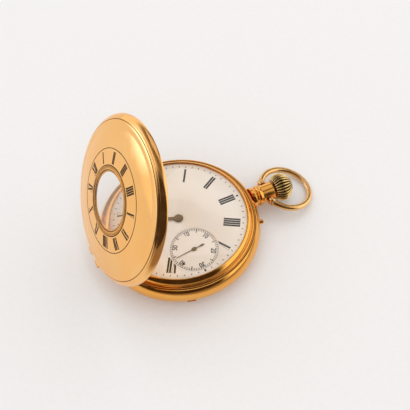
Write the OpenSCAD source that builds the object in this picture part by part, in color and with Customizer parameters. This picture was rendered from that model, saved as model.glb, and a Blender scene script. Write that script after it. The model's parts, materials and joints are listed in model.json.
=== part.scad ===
// Half-hunter pocket watch, front cover open on its hinge, every length in millimetres.
// Origin: centre of the flat on the back. +X towards the crown (3 o'clock), +Y towards 12,
// +Z out of the dial.

/* [Case] */
// Radius of the case middle at the fullest part of its band
case_r = 24.8; // [24.4:0.1:25.6]
// Height of the joint between the back cover and the case middle
back_h = 3.4; // [3.2:0.05:3.8]
// Height of the ledge that the front cover closes on
ledge_h = 8.4; // [8.1:0.05:8.8]
// Wall of the case middle
band_wall = 0.9; // [0.6:0.05:1.2]
// Wall of the three covers
cover_wall = 0.4; // [0.35:0.05:0.45]
// Radius of the flat that the watch lies on
back_flat_r = 11; // [8:0.5:13]
// Rise of the front cover's dome above the ledge, at its centre
cover_rise = 4.36; // [4.3:0.02:4.7]
// How far the front cover's side stands in from the band
cover_inset = 1.15; // [0.9:0.05:1.2]
// Angle at which the front cover stands open on its stop
cover_open = 62.5; // [30:0.1:85]
// Radius of the round window in the front cover
window_r = 8.16; // [7:0.05:9]
// Width of the milled rim round that window
window_rim = 1.05; // [0.8:0.05:1.3]
// Thickness of the glass in the window
window_glass_t = 0.4; // [0.3:0.05:0.5]
// Radius of the ring that the cover's numerals stand in, at its middle
cover_numeral_r = 11.5; // [11.4:0.1:12.2]
// Height of the cover's numerals
cover_numeral_h = 3.4; // [3:0.1:4]
// Width of a thick stroke in the cover's numerals
cover_stroke_w = 0.45; // [0.3:0.01:0.5]
// Thickness of the cuvette, the inner back cover
cuvette_t = 0.35; // [0.3:0.05:0.45]

/* [Bezel and crystal] */
// How far the bezel's rim stands in from the band
bezel_inset = 2.05; // [1.95:0.05:2.2]
// Width of the bezel, from its rim to the opening that the crystal sits in
bezel_w = 1.88; // [1.8:0.01:1.95]
// Thickness of the crystal
crystal_t = 0.5; // [0.4:0.05:0.6]
// Rise of the crystal's dome from its edge to its centre
crystal_rise = 1.35; // [1.2:0.05:1.5]

/* [Hinges] */
// Radius of a hinge knuckle
knuckle_r = 0.66; // [0.6:0.02:0.8]
// Length of the front cover's hinge
front_hinge_len = 13; // [10:0.5:16]
// Length of the back cover's hinge
back_hinge_len = 10; // [8:0.5:12]
// Radius of the hinge pins
hinge_pin_r = 0.26; // [0.2:0.02:0.3]
// Direction of the back cover's hinge from the centre, opposite its thumb lip
back_hinge_at = 75; // [60:1:90]
// Height of the front hinge's axis
front_hinge_h = 6.15; // [5.9:0.05:6.4]

/* [Pendant, crown and bow] */
// Height of the winding stem's axis
stem_h = 5.2; // [5:0.05:5.4]
// Radius of the pendant's neck
neck_r = 2.85; // [2.6:0.05:3]
// Distance from the centre to the end of the neck
neck_end = 32; // [31.6:0.1:32.2]
// Largest radius of the crown
crown_r = 4.4; // [3.9:0.05:4.5]
// Length of the crown
crown_len = 5.6; // [5.3:0.1:6.2]
// Ribs round the crown
crown_ribs = 28; // [18:1:32]
// Travel of the crown when it is pressed to release the cover
crown_travel = 0.35; // [0.2:0.05:0.45]
// Radius of the bow, at the middle of its wire
bow_r = 8; // [7.4:0.05:8.2]
// Diameter of the bow's wire
bow_wire = 1.95; // [1.8:0.05:2.3]
// Distance from the centre to the bow's pivots
bow_pivot_x = 30; // [29.6:0.1:30.2]
// Distance from the pivots to the middle of the bow
bow_centre = 7; // [6.8:0.05:7.2]
// Radius of the screws that the bow swings on
bow_screw_r = 0.55; // [0.45:0.05:0.65]
// Radius of the push pin for setting the hands
pusher_r = 0.7; // [0.5:0.05:0.9]
// Travel of that push pin
pusher_travel = 0.7; // [0.4:0.05:0.9]

/* [Dial and hands] */
// Height of the dial's face
dial_h = 9.8; // [9.7:0.05:9.9]
// How far the dial's edge stands in from the crystal's
dial_inset = 0.12; // [0.07:0.01:0.45]
// Thickness of the dial
dial_t = 0.8; // [0.6:0.05:0.9]
// Radius of the sunk seconds dial
seconds_dial_r = 7.2; // [6.9:0.05:7.3]
// Depth of the sunk seconds dial below the main one
seconds_sink = 0.3; // [0.2:0.05:0.4]
// Distance from the centre to the seconds hand's axis
seconds_at = 11.63; // [11.4:0.01:11.9]
// Middle radius of the dial's hour numerals
numeral_r = 16.1; // [15:0.1:16.4]
// Height of the dial's hour numerals
numeral_h = 5; // [3.6:0.1:5.2]
// Width of a thick stroke in the dial's numerals
stroke_w = 0.55; // [0.4:0.01:0.6]
// Length of the minute hand
minute_hand_len = 18.3; // [16:0.1:19]
// Length of the hour hand
hour_hand_len = 12; // [10:0.1:13]
// Length of the seconds hand
seconds_hand_len = 6; // [5:0.1:6.6]
// Hour shown
hour_shown = 9; // [0:1:11]
// Minute shown
minute_shown = 48; // [0:1:59]
// Second shown
second_shown = 44; // [0:1:59]

/* [Movement] */
// How far the main plate's edge stands in from the crystal's
plate_inset = 0.32; // [0.29:0.01:0.55]
// Thickness of the main plate
plate_t = 1.5; // [1.3:0.05:1.6]
// Thickness of the bridges
bridge_t = 1.3; // [1.2:0.05:1.4]
// Gap between the main plate and the bridges
train_gap = 2.5; // [2.45:0.05:2.6]
// Teeth on the mainspring barrel
barrel_teeth = 80; // [76:1:82]
// Teeth on the centre wheel
centre_teeth = 80; // [78:1:82]
// Leaves on the centre, third and fourth pinions
pinion_leaves = 10; // [9:1:11]
// Teeth on the third wheel
third_teeth = 75; // [72:1:77]
// Teeth on the fourth wheel
fourth_teeth = 80; // [78:1:84]
// Leaves on the escape pinion
escape_leaves = 8; // [7:1:9]
// Teeth on the escape wheel
escape_teeth = 15; // [13:1:17]
// Thickness of the train wheels
wheel_t = 0.2; // [0.15:0.01:0.25]
// Radius of the balance wheel
balance_r = 7.4; // [7:0.05:7.6]
// Turns of the hairspring
hairspring_turns = 7; // [5:1:8]
// Coils of the wound mainspring
mainspring_turns = 7; // [5:1:9]
// Module of the barrel and centre pinion
barrel_module = 0.2; // [0.19:0.005:0.205]
// Module of the centre wheel and third pinion
centre_module = 0.17; // [0.165:0.001:0.172]
// Module of the third wheel and fourth pinion
third_module = 0.15; // [0.148:0.001:0.152]
// Module of the fourth wheel and escape pinion
fourth_module = 0.12; // [0.115:0.001:0.125]

/* [Fits] */
// Radial running clearance of hinge pins and pivots
run_gap = 0.03; // [0.02:0.005:0.05]
// Gap between neighbouring knuckles of a hinge
knuckle_gap = 0.08; // [0.05:0.01:0.12]
// Gap that a closed cover keeps from its seat
shut_gap = 0.05; // [0.03:0.01:0.08]
// Gap between parts that pass one another
pass_gap = 0.15; // [0.1:0.01:0.2]

/* [Hidden] */
$fn = 64;
eps = 0.01;
gold = [0.93, 0.66, 0.33];
deep_gold = [0.62, 0.42, 0.17];
steel = [0.62, 0.63, 0.66];
blued = [0.12, 0.15, 0.3];
brass = [0.8, 0.65, 0.35];
gilt = [0.86, 0.72, 0.42];
ruby = [0.65, 0.05, 0.12];
glass = [0.8, 0.9, 0.95, 0.4];
enamel = [0.96, 0.95, 0.92];
ink = [0.1, 0.08, 0.08];
hand_gold = [0.55, 0.4, 0.2];

// Radii that keep with the case
cover_r = case_r - cover_inset;
bezel_r = case_r - bezel_inset;
crystal_r = bezel_r - bezel_w;
dial_r = crystal_r - dial_inset;
plate_r = crystal_r - plate_inset;

// Case middle, as radii and heights of its turned section
band_edge_r = case_r - 0.5;
band_top_r = case_r - 1.25;
belly_h = back_h + 1.25;
rest_h = ledge_h - shut_gap;
bore_r = plate_r + shut_gap;
cavity_top = back_h + 3;
seat_h = cavity_top + plate_t + 0.1;
seat_r = plate_r + 0.6;
collar_r = seat_r + 0.3;
collar_h = ledge_h + 0.9;
cavity_r = case_r - band_wall;
cavity_low = back_h + 0.7;
lip_r = case_r - 1.7;
lip_w = 0.18;
lip_rise = 0.25;
groove_h = ledge_h - 0.3;

// Front cover, as heights above the ledge
cover_step_r = cover_r - 3.05;
cover_step_rise = 2.48;
cover_belly = 0.12;
cover_rim_r = cover_r - 0.05;
dome_power = 3;
numeral_low_r = cover_numeral_r - 2.25;
numeral_top_r = cover_numeral_r + 2.25;
rim_rise = 0.12;
rim_line = 0.06;
window_seat = 0.12;
window_lip = 0.3;
inlay_t = 0.04;
hair_w = 0.13;
hole_r = window_r + 0.4;

// Back cover and cuvette
back_r = case_r - 0.5;
back_rim_h = back_h - shut_gap;
back_power = 2.6;
cuvette_r = back_r - 2.9;
cuvette_low = 1.15;
cuvette_power = 8;

// Case screws and springs inside the band
case_screw_at = [150, 300];
case_screw_r = plate_r - 0.7;
case_screw_head_r = 1.1;
case_screw_head_t = 0.35;
spring_out = cavity_r - 0.25;
spring_in = spring_out - 0.5;
spring_low = cavity_low + 0.5;
spring_h = 1.3;
spring_foot_in = spring_in - 0.9;
fly_spring_arc = [198, 292];
fly_foot_arc = [290, 306];
lock_spring_arc = [9, 141];
lock_foot_arc = [139, 154];
lock_catch_arc = [7.5, 12];
lip_len = 2.6;
lip_t = 0.36;

// Hinge axes
front_hinge_x = case_r;
front_tab_t = 0.6;
front_leaf_top = 0.7;
back_hinge_x = back_r + 0.2;
back_hinge_h = back_h - 0.4;
cuvette_hinge_x = cuvette_r + 0.35;
cuvette_hinge_h = back_h - 0.35;
cuvette_knuckle_r = 0.42;
cuvette_hinge_len = 6;
cuvette_leaf = 0.75;
cuvette_radii = [for (t = [0, 0.4, 0.6, 0.74, 0.83, 0.9, 0.95, 0.98, 1]) cuvette_r * t];
cuvette_pin_r = 0.18;

// Pendant, stem and bow
pendant_x = case_r - 0.8;
neck_len = neck_end - pendant_x;
neck_chamfer = 0.3;
// Mouldings of the pendant, as distances along it and heights over its neck
neck_mouldings = [[0, 0.45], [1.3, 0.45], [1.55, 0.3], [1.75, -0.25], [2.2, -0.25], [2.4, 0.2],
    [2.7, 0.4], [3.1, 0.4], [3.5, 0.15], [3.9, 0]];
stem_r = 0.6;
stem_start = 15.2;
stem_round_x = 18.1;
stem_square = 0.84;
crown_x = neck_end + crown_travel + shut_gap;
bow_reach = bow_centre + bow_r;
bow_droop = asin((stem_h - bow_wire / 2 - shut_gap) / bow_reach);
lug_in = neck_r + 0.12;
lug_out = lug_in + 1.5;
lug_r = 1.3;
bow_screw_head_r = bow_screw_r + 0.4;
bow_gap_angle = 25;
bow_screw_root = neck_r - 1.2;
crown_bore = 3;
collar_x = cavity_r - 1.5;
collar_len = 0.8;
collar_out = 1.05;
flange_out = 0.95;
flange_t = 0.25;
pusher_at = -21.2;
pusher_tip = case_r + 1;
pusher_root = seat_r + pusher_travel + 0.3;

// Dial side
dial_low = dial_h - dial_t;
seconds_dial_h = dial_h - seconds_sink;
bezel_lip_h = dial_h + shut_gap;
crystal_low = bezel_lip_h + 0.15;
crystal_edge_t = 0.35;
crystal_power = 4;
crystal_seat = 0.3;
bezel_top = crystal_low + crystal_edge_t;
bezel_flat = 0.13;
bezel_rim_w = 0.4;
bezel_rim_t = 0.35;
bezel_notch = 0.6;
hour_hand_h = dial_h + 0.15;
minute_hand_h = dial_h + 0.4;
seconds_hand_h = seconds_dial_h + 0.15;
hand_t = 0.12;
cannon_r = 0.45;
hour_tube_r = 0.8;
second_tube_r = 0.16;
seconds_hand_t = 0.09;
seconds_boss_r = 0.55;
seconds_tail = 1.9;

// Movement levels, from the dial side to the back
plate_low = cavity_top;
bridge_top = plate_low - train_gap;
bridge_low = bridge_top - bridge_t;
bridge_r = plate_r - 1.85;
centre_wheel_h = plate_low - 0.45;
barrel_top = plate_low - 0.6;
barrel_low = bridge_top + 0.2;
barrel_rim_h = barrel_top - 0.55;
third_wheel_h = bridge_top + 0.7;
fourth_wheel_h = bridge_top + 1.45;
escape_wheel_h = bridge_top + 0.6;
escape_wheel_t = 0.15;
lever_h = escape_wheel_h;
balance_h = bridge_top - 0.95;
balance_t = 0.5;
cock_top = balance_h - 0.25;
cock_t = 0.6;
cock_low = cock_top - cock_t;
regulator_t = 0.2;
regulator_w = 0.4;
regulator_len = 6.5;
regulator_tail = 1.4;
hairspring_h = cock_top + 0.06;
hairspring_w = 0.14;
keyless_t = 0.5;
keyless_h = bridge_low - keyless_t - 0.03;

// Wheel centres, worked out from the teeth
barrel_dist = barrel_module * (barrel_teeth + pinion_leaves) / 2;
third_dist = centre_module * (centre_teeth + pinion_leaves) / 2;
fourth_dist = third_module * (third_teeth + pinion_leaves) / 2;
escape_dist = fourth_module * (fourth_teeth + escape_leaves) / 2;
barrel_dir = 62;
barrel_at = barrel_dist * [cos(barrel_dir), sin(barrel_dir)];
centre_at = [0, 0];
fourth_at = [0, -seconds_at];
third_swing = acos((third_dist * third_dist + seconds_at * seconds_at - fourth_dist * fourth_dist)
    / (2 * third_dist * seconds_at));
third_at = third_dist * [sin(third_swing), -cos(third_swing)];
escape_dir = 200;
escape_at = fourth_at + escape_dist * [cos(escape_dir), sin(escape_dir)];
lever_dir = 115;
lever_dist = 3.3;
lever_at = escape_at + lever_dist * [cos(lever_dir), sin(lever_dir)];
balance_dist = 4.2;
balance_at = lever_at + balance_dist * [cos(lever_dir), sin(lever_dir)];

// Pivots, jewels, screws and pillars
pivot_r = 0.1;
arbor_r = 0.22;
centre_arbor_r = 0.3;
cannon_bore = 2;
fourth_arbor_r = second_tube_r;
barrel_pivot_r = 0.9;
barrel_core_r = 2;
jewel_r = 0.6;
jewel_t = 0.6;
screw_r = 0.45;
screw_head_t = 0.28;
screw_thread = 0.9;
pillar_r = 1.2;
split_y = 1.6;
barrel_pillars = [[-8.5, 13.5], [-13, 4], [16.3, 6.5]];
train_pillars = [[11.2, -7.8], [10.2, -13.6], [4.4, -16.6]];
pillar_at = concat(barrel_pillars, train_pillars);
cock_foot_at = [-15.6, -1.6];
cock_foot_r = 1.5;
pallet_foot_at = [-9.8, -12.6];
pallet_cock_low = bridge_top + 0.05;
pallet_cock_t = 0.4;
shoulder_low = bridge_top + 0.06;
shoulder_high = plate_low - 0.06;
pivot_low = bridge_low + 0.05;
pivot_high = plate_low + 0.5;
pallet_pivot_low = pallet_cock_low + 0.02;
stem_slot_w = 6;
minute_post_r = 0.3;

// Escapement
escape_r = 2.6;
escape_rim_r = 1.9;
fork_len = 3.3;
fork_t = 0.2;
stone_y = 1.7;
staff_r = 0.28;
roller_h = 4.1;
barrel_drum_r = barrel_teeth * barrel_module / 2 - 0.45;

// Keyless work
crown_hub_r = 1.6;
stem_room = stem_square + 2 * run_gap;
winding_teeth = 15;
crown_wheel_teeth = 30;
ratchet_teeth = 36;
winding_pinion_x = 17;
winding_pinion_w = 1.4;
winding_pitch_r = 2.4;
crown_wheel_at = [winding_pinion_x - winding_pitch_r * crown_wheel_teeth / winding_teeth, 0];
ratchet_dist = norm(crown_wheel_at - barrel_at);
face_tooth_h = 0.32;
click_at = barrel_at + 8.1 * [cos(150), sin(150)];
winding_teeth_r = winding_pinion_x - crown_wheel_at[0];
mesh_dir = atan2(crown_wheel_at[1] - barrel_at[1], crown_wheel_at[0] - barrel_at[0]);
click_dir = -30;
winding_module = 2 * ratchet_dist / (crown_wheel_teeth + ratchet_teeth);

// Motion work
cannon_leaves = 12;
minute_teeth = 36;
minute_leaves = 10;
hour_teeth = 40;
motion_module = 0.18;
motion_dist = motion_module * (cannon_leaves + minute_teeth) / 2;
hour_module = 2 * motion_dist / (minute_leaves + hour_teeth);
motion_dir = 140;
minute_at = motion_dist * [cos(motion_dir), sin(motion_dir)];
motion_h = 8.02;
motion_t = 0.22;
centre_arbor_top = motion_h + cannon_bore - 0.05;
hour_wheel_h = motion_h + motion_t + 0.12;

function slope_z(r, apex, edge, span, power) = edge + (apex - edge) * (1 - pow(r / span, power));
function arc(c, rx, rz, from, to, n) = [for (i = [0:n]) let(a = from + (to - from) * i / n)
    [c[0] + rx * cos(a), c[1] + rz * sin(a)]];
function cover_z(r) = slope_z(r, cover_rise, cover_step_rise, cover_step_r, dome_power);
function cover_radii(start) = [for (r = [start, numeral_low_r, numeral_low_r + 1.5, numeral_top_r - 1.5,
    numeral_top_r, numeral_top_r + 2, numeral_top_r + 4, cover_step_r - 1.7, cover_step_r]) r];
numeral_span = [numeral_low_r, numeral_low_r + 1.5, numeral_top_r - 1.5, numeral_top_r];
hole_low = cover_z(hole_r) - cover_wall;
function first_slope(r) = cover_z(hole_r)
    + (cover_z(numeral_low_r) - cover_z(hole_r)) * (r - hole_r) / (numeral_low_r - hole_r);
function back_z(r, low, edge_r) = low + (back_rim_h - low)
    * pow(max(r - back_flat_r, 0) / (edge_r - back_flat_r), back_power);
function cuvette_z(r) = cuvette_low + (back_rim_h - cuvette_low) * pow(r / cuvette_r, cuvette_power);
function band_edge(n) = concat(
    [for (i = [0:n]) let(t = 1 - i / n)
        [case_r - (case_r - band_top_r) * pow(t, 2.6), belly_h + (rest_h - belly_h) * t]],
    [for (i = [1:n]) let(t = i / n)
        [case_r - (case_r - band_edge_r) * pow(t, 2), belly_h - (belly_h - back_h) * t]]);
hour_angle = (hour_shown + minute_shown / 60) * 30;
minute_angle = minute_shown * 6;
second_angle = second_shown * 6;

// Helpers
module turned(points) rotate_extrude($fn = 128) polygon(points);
module along_stem(x) translate([x, 0, stem_h]) rotate([0, 90, 0]) children();
module at(p, z) translate([p[0], p[1], z]) children();
module ring(out, hole, t) difference() {
    cylinder(r = out, h = t);
    translate([0, 0, -eps]) cylinder(r = hole, h = t + 2 * eps);
}
module sector(in_r, out_r, low, high, from, to) translate([0, 0, low]) rotate([0, 0, from])
    rotate_extrude(angle = to - from, $fn = 128) translate([in_r, 0]) square([out_r - in_r, high - low]);

// A toothed outline whose first tooth points along angle "phase"
module toothed(teeth, pitch_module, phase) {
    pitch_r = teeth * pitch_module / 2;
    step = 360 / teeth;
    low_r = pitch_r - 1.15 * pitch_module;
    top_r = pitch_r + 0.8 * pitch_module;
    polygon([for (i = [0:teeth - 1], c = [[-0.3, low_r], [-0.12, top_r], [0.12, top_r], [0.3, low_r]])
        let(a = phase + (i + c[0]) * step) c[1] * [cos(a), sin(a)]]);
}

// Wheel blank with spokes, a hub and a polygon rim hole
module spoked(teeth, pitch_module, phase, spokes, t, hub_r) {
    rim_in = teeth * pitch_module / 2 - 4.2 * pitch_module;
    linear_extrude(t) difference() {
        toothed(teeth, pitch_module, phase);
        difference() {
            circle(r = rim_in);
            circle(r = hub_r);
            for (i = [0:spokes - 1]) rotate(i * 360 / spokes + 17) translate([0, -hub_r * 0.3])
                square([rim_in + 1, hub_r * 0.6]);
        }
    }
}

// Staff along Z, thick between its shoulders, with a thin pivot at each end
module arbor(low, low_shoulder, high_shoulder, high, r, thin_r) {
    translate([0, 0, low]) cylinder(r = thin_r, h = high - low);
    translate([0, 0, low_shoulder]) cylinder(r = r, h = high_shoulder - low_shoulder);
}

// Knuckles along Y of a hinge split into equal parts; "which" lists the parts drawn
module knuckles(len, parts, which, r, hole_r) {
    step = len / parts;
    difference() {
        for (i = which) translate([0, -len / 2 + i * step + knuckle_gap / 2, 0]) rotate([-90, 0, 0])
            cylinder(r = r, h = step - knuckle_gap);
        translate([0, -len / 2 - eps, 0]) rotate([-90, 0, 0]) cylinder(r = hole_r, h = len + 2 * eps);
    }
}
module knuckle_room(len, parts, which, r) {
    step = len / parts;
    for (i = which) translate([0, -len / 2 + i * step - knuckle_gap / 2, 0]) rotate([-90, 0, 0])
        cylinder(r = r + pass_gap / 2, h = step + knuckle_gap);
}
module front_hinge() translate([-front_hinge_x, 0, front_hinge_h]) children();
module back_hinge() rotate([0, 0, back_hinge_at]) translate([back_hinge_x, 0, back_hinge_h]) children();
module cuvette_hinge() rotate([0, 0, back_hinge_at])
    translate([cuvette_hinge_x, 0, cuvette_hinge_h]) children();

// Case
module band_section() polygon(concat(
    [[bore_r, cavity_top], [bore_r, seat_h], [seat_r + shut_gap, seat_h], [seat_r + shut_gap, collar_h],
        [collar_r, collar_h], [collar_r, ledge_h], [bezel_r + shut_gap, ledge_h],
        [bezel_r + shut_gap, groove_h], [lip_r - lip_w, groove_h], [lip_r - lip_w, ledge_h + lip_rise],
        [lip_r, ledge_h + lip_rise], [lip_r, rest_h]],
    band_edge(8),
    [[bore_r, back_h], [bore_r, cavity_low], [cavity_r, cavity_low], [cavity_r, cavity_top]]));

module case_band() color(gold) {
    difference() {
        union() {
            rotate_extrude($fn = 128) band_section();
            sector(cavity_r - 0.9, cavity_r + eps, cavity_low - eps, cavity_top + eps, 164, 196);
            back_hinge() knuckles(back_hinge_len, 5, [0, 2, 4], knuckle_r, hinge_pin_r);
            front_hinge() knuckles(front_hinge_len, 5, [0, 2, 4], knuckle_r, hinge_pin_r);
            cuvette_hinge() knuckles(cuvette_hinge_len, 3, [0, 2], cuvette_knuckle_r, cuvette_pin_r);
        }
        back_hinge() knuckle_room(back_hinge_len, 5, [1, 3], knuckle_r);
        front_hinge() knuckle_room(front_hinge_len, 5, [1, 3], knuckle_r);
        cuvette_hinge() knuckle_room(cuvette_hinge_len, 3, [1], cuvette_knuckle_r);
        front_hinge() pin_hole(front_hinge_len, hinge_pin_r);
        back_hinge() pin_hole(back_hinge_len, hinge_pin_r);
        cuvette_hinge() pin_hole(cuvette_hinge_len, cuvette_pin_r);
        along_stem(pendant_x) cylinder(r = neck_r + 0.5, h = 2);
        along_stem(cavity_r - 1) cylinder(r = flange_out + pass_gap, h = 2);
        pusher_line() translate([0, 0, cavity_r - 1]) cylinder(r = pusher_r + run_gap, h = 3);
    }
}

module pin_hole(len, r) translate([0, -len / 2 - eps, 0]) rotate([-90, 0, 0])
    cylinder(r = r, h = len + 2 * eps);
module pusher_line() rotate([0, 0, pusher_at]) translate([0, 0, stem_h]) rotate([0, 90, 0]) children();

module pendant() color(gold) difference() {
    along_stem(pendant_x) rotate_extrude() polygon(concat([[0, 0]],
        [for (p = neck_mouldings) [neck_r + p[1], p[0]]],
        [[neck_r, neck_len - neck_chamfer], [neck_r - neck_chamfer, neck_len], [0, neck_len]]));
    along_stem(pendant_x - eps) cylinder(r = stem_r + run_gap, h = neck_len + 2 * eps);
    for (s = [-1, 1]) bow_axis(s) translate([0, 0, bow_screw_root]) cylinder(r = bow_screw_r, h = 2);
    translate([0, 0, -eps]) cylinder(r = back_r + pass_gap, h = back_h + eps, $fn = 128);
}
module bow_axis(side) translate([bow_pivot_x, 0, stem_h]) rotate([-90 * side, 0, 0]) children();

module bezel() color(gold) difference() {
    turned(concat([[collar_r + run_gap, ledge_h], [collar_r + run_gap, collar_h + shut_gap],
            [seat_r, collar_h + shut_gap], [seat_r, bezel_lip_h], [crystal_r - crystal_seat, bezel_lip_h],
            [crystal_r - crystal_seat, crystal_low], [crystal_r, crystal_low], [crystal_r, bezel_top]],
        arc([crystal_r + bezel_flat, ledge_h + bezel_rim_t],
            bezel_r - crystal_r - bezel_flat - bezel_rim_w - 0.1, bezel_top - ledge_h - bezel_rim_t,
            90, 0, 9),
        [[bezel_r - bezel_rim_w, ledge_h + bezel_rim_t + 0.03], [bezel_r - 0.15, ledge_h + bezel_rim_t],
            [bezel_r, ledge_h + 0.2], [bezel_r, ledge_h]]));
    rotate([0, 0, back_hinge_at + 177]) translate([bezel_r - 0.35, -bezel_notch / 2, ledge_h - eps])
        cube([1, bezel_notch, 0.16]);
}

module crystal() color(glass) turned(concat(
    [for (i = [0:14]) let(r = crystal_r * i / 14)
        [r, slope_z(r, bezel_top + crystal_rise, bezel_top, crystal_r, crystal_power)]],
    [[crystal_r, crystal_low]],
    [for (i = [14:-1:0]) let(r = (crystal_r - crystal_seat) * i / 14)
        [r, slope_z(r, bezel_top + crystal_rise - crystal_t, crystal_low, crystal_r - crystal_seat,
            crystal_power)]]));

// Covers; the front one is drawn shut and then swung open
module opened() front_hinge() rotate([0, -cover_open, 0]) translate([front_hinge_x, 0, -front_hinge_h])
    translate([0, 0, ledge_h + shut_gap]) children();
module cover_section() polygon(concat(
    [for (r = cover_radii(hole_r)) [r, cover_z(r)]],
    arc([cover_step_r, cover_belly], cover_r - cover_step_r, cover_step_rise - cover_belly, 80, 0, 8),
    [[cover_rim_r, 0], [cover_rim_r - cover_wall, 0]],
    arc([cover_step_r, cover_belly], cover_r - cover_step_r - cover_wall,
        cover_step_rise - cover_belly - cover_wall, 0, 80, 8),
    [for (i = [len(cover_radii(hole_r)) - 1:-1:0]) let(r = cover_radii(hole_r)[i])
        [r, cover_z(r) - cover_wall]]));

module front_cover() color(gold) opened() {
    tab_step = front_hinge_len / 5;
    tab_x = front_hinge_x + knuckle_r;
    axis_h = front_hinge_h - ledge_h - shut_gap;
    leaf_len = tab_step - knuckle_gap;
    rotate_extrude($fn = 128) cover_section();
    difference() {
        union() {
            translate([-front_hinge_x, 0, axis_h])
                knuckles(front_hinge_len, 5, [1, 3], knuckle_r, hinge_pin_r + run_gap);
            for (i = [1, 3]) translate([-tab_x, -front_hinge_len / 2 + i * tab_step + knuckle_gap / 2, 0]) {
                translate([0, 0, axis_h]) cube([front_tab_t, leaf_len, front_leaf_top - axis_h]);
                translate([0, 0, shut_gap])
                    cube([tab_x - cover_rim_r + 1, leaf_len, front_leaf_top - shut_gap]);
            }
        }
        translate([-front_hinge_x, 0, axis_h]) pin_hole(front_hinge_len, hinge_pin_r + run_gap);
        cylinder(r = cover_rim_r - cover_wall / 2, h = 2 * front_leaf_top, $fn = 128);
    }
}

module cover_window_ring() color(gold) opened() turned([
    [window_r - window_lip, hole_low], [hole_r, hole_low], [hole_r, cover_z(hole_r)],
    [window_r + window_rim, first_slope(window_r + window_rim)],
    [window_r + window_rim - 0.08, cover_z(hole_r) + rim_line],
    [window_r + 0.55, cover_z(hole_r) + rim_line],
    [window_r + 0.45, cover_z(hole_r) + rim_rise], [window_r + 0.05, cover_z(hole_r) + rim_rise],
    [window_r, cover_z(hole_r) + 0.05], [window_r, hole_low + window_seat],
    [window_r - window_lip, hole_low + window_seat]]);

module cover_crystal() color(glass) opened() turned([[0, hole_low + window_seat],
    [window_r, hole_low + window_seat], [window_r, hole_low + window_seat + window_glass_t / 2],
    [window_r * 0.66, hole_low + window_seat + window_glass_t],
    [0, hole_low + window_seat + window_glass_t + 0.08]]);

// Roman numerals built from strokes, foot towards the centre; w is the width of a thick stroke
module stroke(x, w, h, lean) polygon([[x - w / 2 - lean, -h / 2], [x + w / 2 - lean, -h / 2],
    [x + w / 2 + lean, h / 2], [x - w / 2 + lean, h / 2]]);
module roman_five(x, h, w) {
    stroke(x - 0.72 * w, w, h, -0.6 * w);
    stroke(x + 0.72 * w, hair_w, h, 0.6 * w);
}
module roman_ten(x, h, w) {
    stroke(x, w, h, -1.1 * w);
    stroke(x, hair_w, h, 1.1 * w);
}
module roman(n, h, w) {
    letters = ["I", "II", "III", "IIII", "V", "VI", "VII", "VIII", "IX", "X", "XI", "XII"][n - 1];
    widths = [for (c = letters) w * (c == "I" ? 1.45 : c == "V" ? 2.9 : 3.2)];
    total = numeral_sum(widths, len(widths));
    for (i = [0:len(widths) - 1]) {
        x = numeral_sum(widths, i) + widths[i] / 2 - total / 2;
        if (letters[i] == "I") stroke(x, w, h, 0);
        if (letters[i] == "V") roman_five(x, h, w);
        if (letters[i] == "X") roman_ten(x, h, w);
    }
    for (s = [-1, 1]) translate([0, s * (h - hair_w) / 2]) square([total - 0.1 * w, hair_w], center = true);
}
function numeral_sum(list, n) = n <= 0 ? 0 : list[n - 1] + numeral_sum(list, n - 1);

module cover_numerals() color(ink) opened() intersection() {
    turned(concat([for (r = numeral_span) [r, cover_z(r)]],
        [for (i = [len(numeral_span) - 1:-1:0]) [numeral_span[i], cover_z(numeral_span[i]) + inlay_t]]));
    linear_extrude(cover_rise + 1) for (n = [1:12]) rotate(90 - n * 30) translate([cover_numeral_r, 0])
        rotate(-90) roman(n, cover_numeral_h, cover_stroke_w);
}

module back_section(low, edge_r) polygon(concat([[0, low], [back_flat_r, low]],
    [for (i = [1:9]) let(r = back_flat_r + (edge_r - back_flat_r) * i / 9) [r, back_z(r, low, edge_r)]],
    [[0, back_rim_h]]));
module back_cover() color(gold) {
    difference() {
        union() {
            rotate_extrude($fn = 128) difference() {
                back_section(0, back_r);
                translate([0, eps / 10]) back_section(cover_wall, back_r - cover_wall);
            }
            back_hinge() knuckles(back_hinge_len, 5, [1, 3], knuckle_r, hinge_pin_r + run_gap);
            rotate([0, 0, back_hinge_at + 180]) translate([back_r - 0.3, -lip_len / 2, back_rim_h - lip_t])
                cube([0.6, lip_len, lip_t]);
        }
        back_hinge() knuckle_room(back_hinge_len, 5, [0, 2, 4], knuckle_r);
        back_hinge() pin_hole(back_hinge_len, hinge_pin_r + run_gap);
        cuvette_hinge() knuckle_room(cuvette_hinge_len, 3, [0, 1, 2], cuvette_knuckle_r);
    }
}
module cuvette() color(gold) difference() {
    union() {
        rotate_extrude($fn = 128) polygon(concat([for (r = cuvette_radii) [r, cuvette_z(r)]],
            [[cuvette_r - cuvette_t, back_rim_h]],
            [for (i = [len(cuvette_radii) - 2:-1:0]) let(r = cuvette_radii[i])
                [r * (cuvette_r - cuvette_t) / cuvette_r, cuvette_z(r) + cuvette_t]]));
        cuvette_hinge() knuckles(cuvette_hinge_len, 3, [1], cuvette_knuckle_r, cuvette_pin_r + run_gap);
        cuvette_hinge() translate([-cuvette_leaf, knuckle_gap / 2 - cuvette_hinge_len / 6, -0.1])
            cube([cuvette_leaf, cuvette_hinge_len / 3 - knuckle_gap, back_rim_h - cuvette_hinge_h + 0.1]);
    }
    cuvette_hinge() knuckle_room(cuvette_hinge_len, 3, [0, 2], cuvette_knuckle_r);
    cuvette_hinge() pin_hole(cuvette_hinge_len, cuvette_pin_r + run_gap);
}
module hinge_pins() color(steel) {
    front_hinge() pin(front_hinge_len, hinge_pin_r);
    back_hinge() pin(back_hinge_len, hinge_pin_r);
    cuvette_hinge() pin(cuvette_hinge_len, cuvette_pin_r);
}
module pin(len, r) translate([0, -len / 2, 0]) rotate([-90, 0, 0]) cylinder(r = r, h = len);

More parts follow.
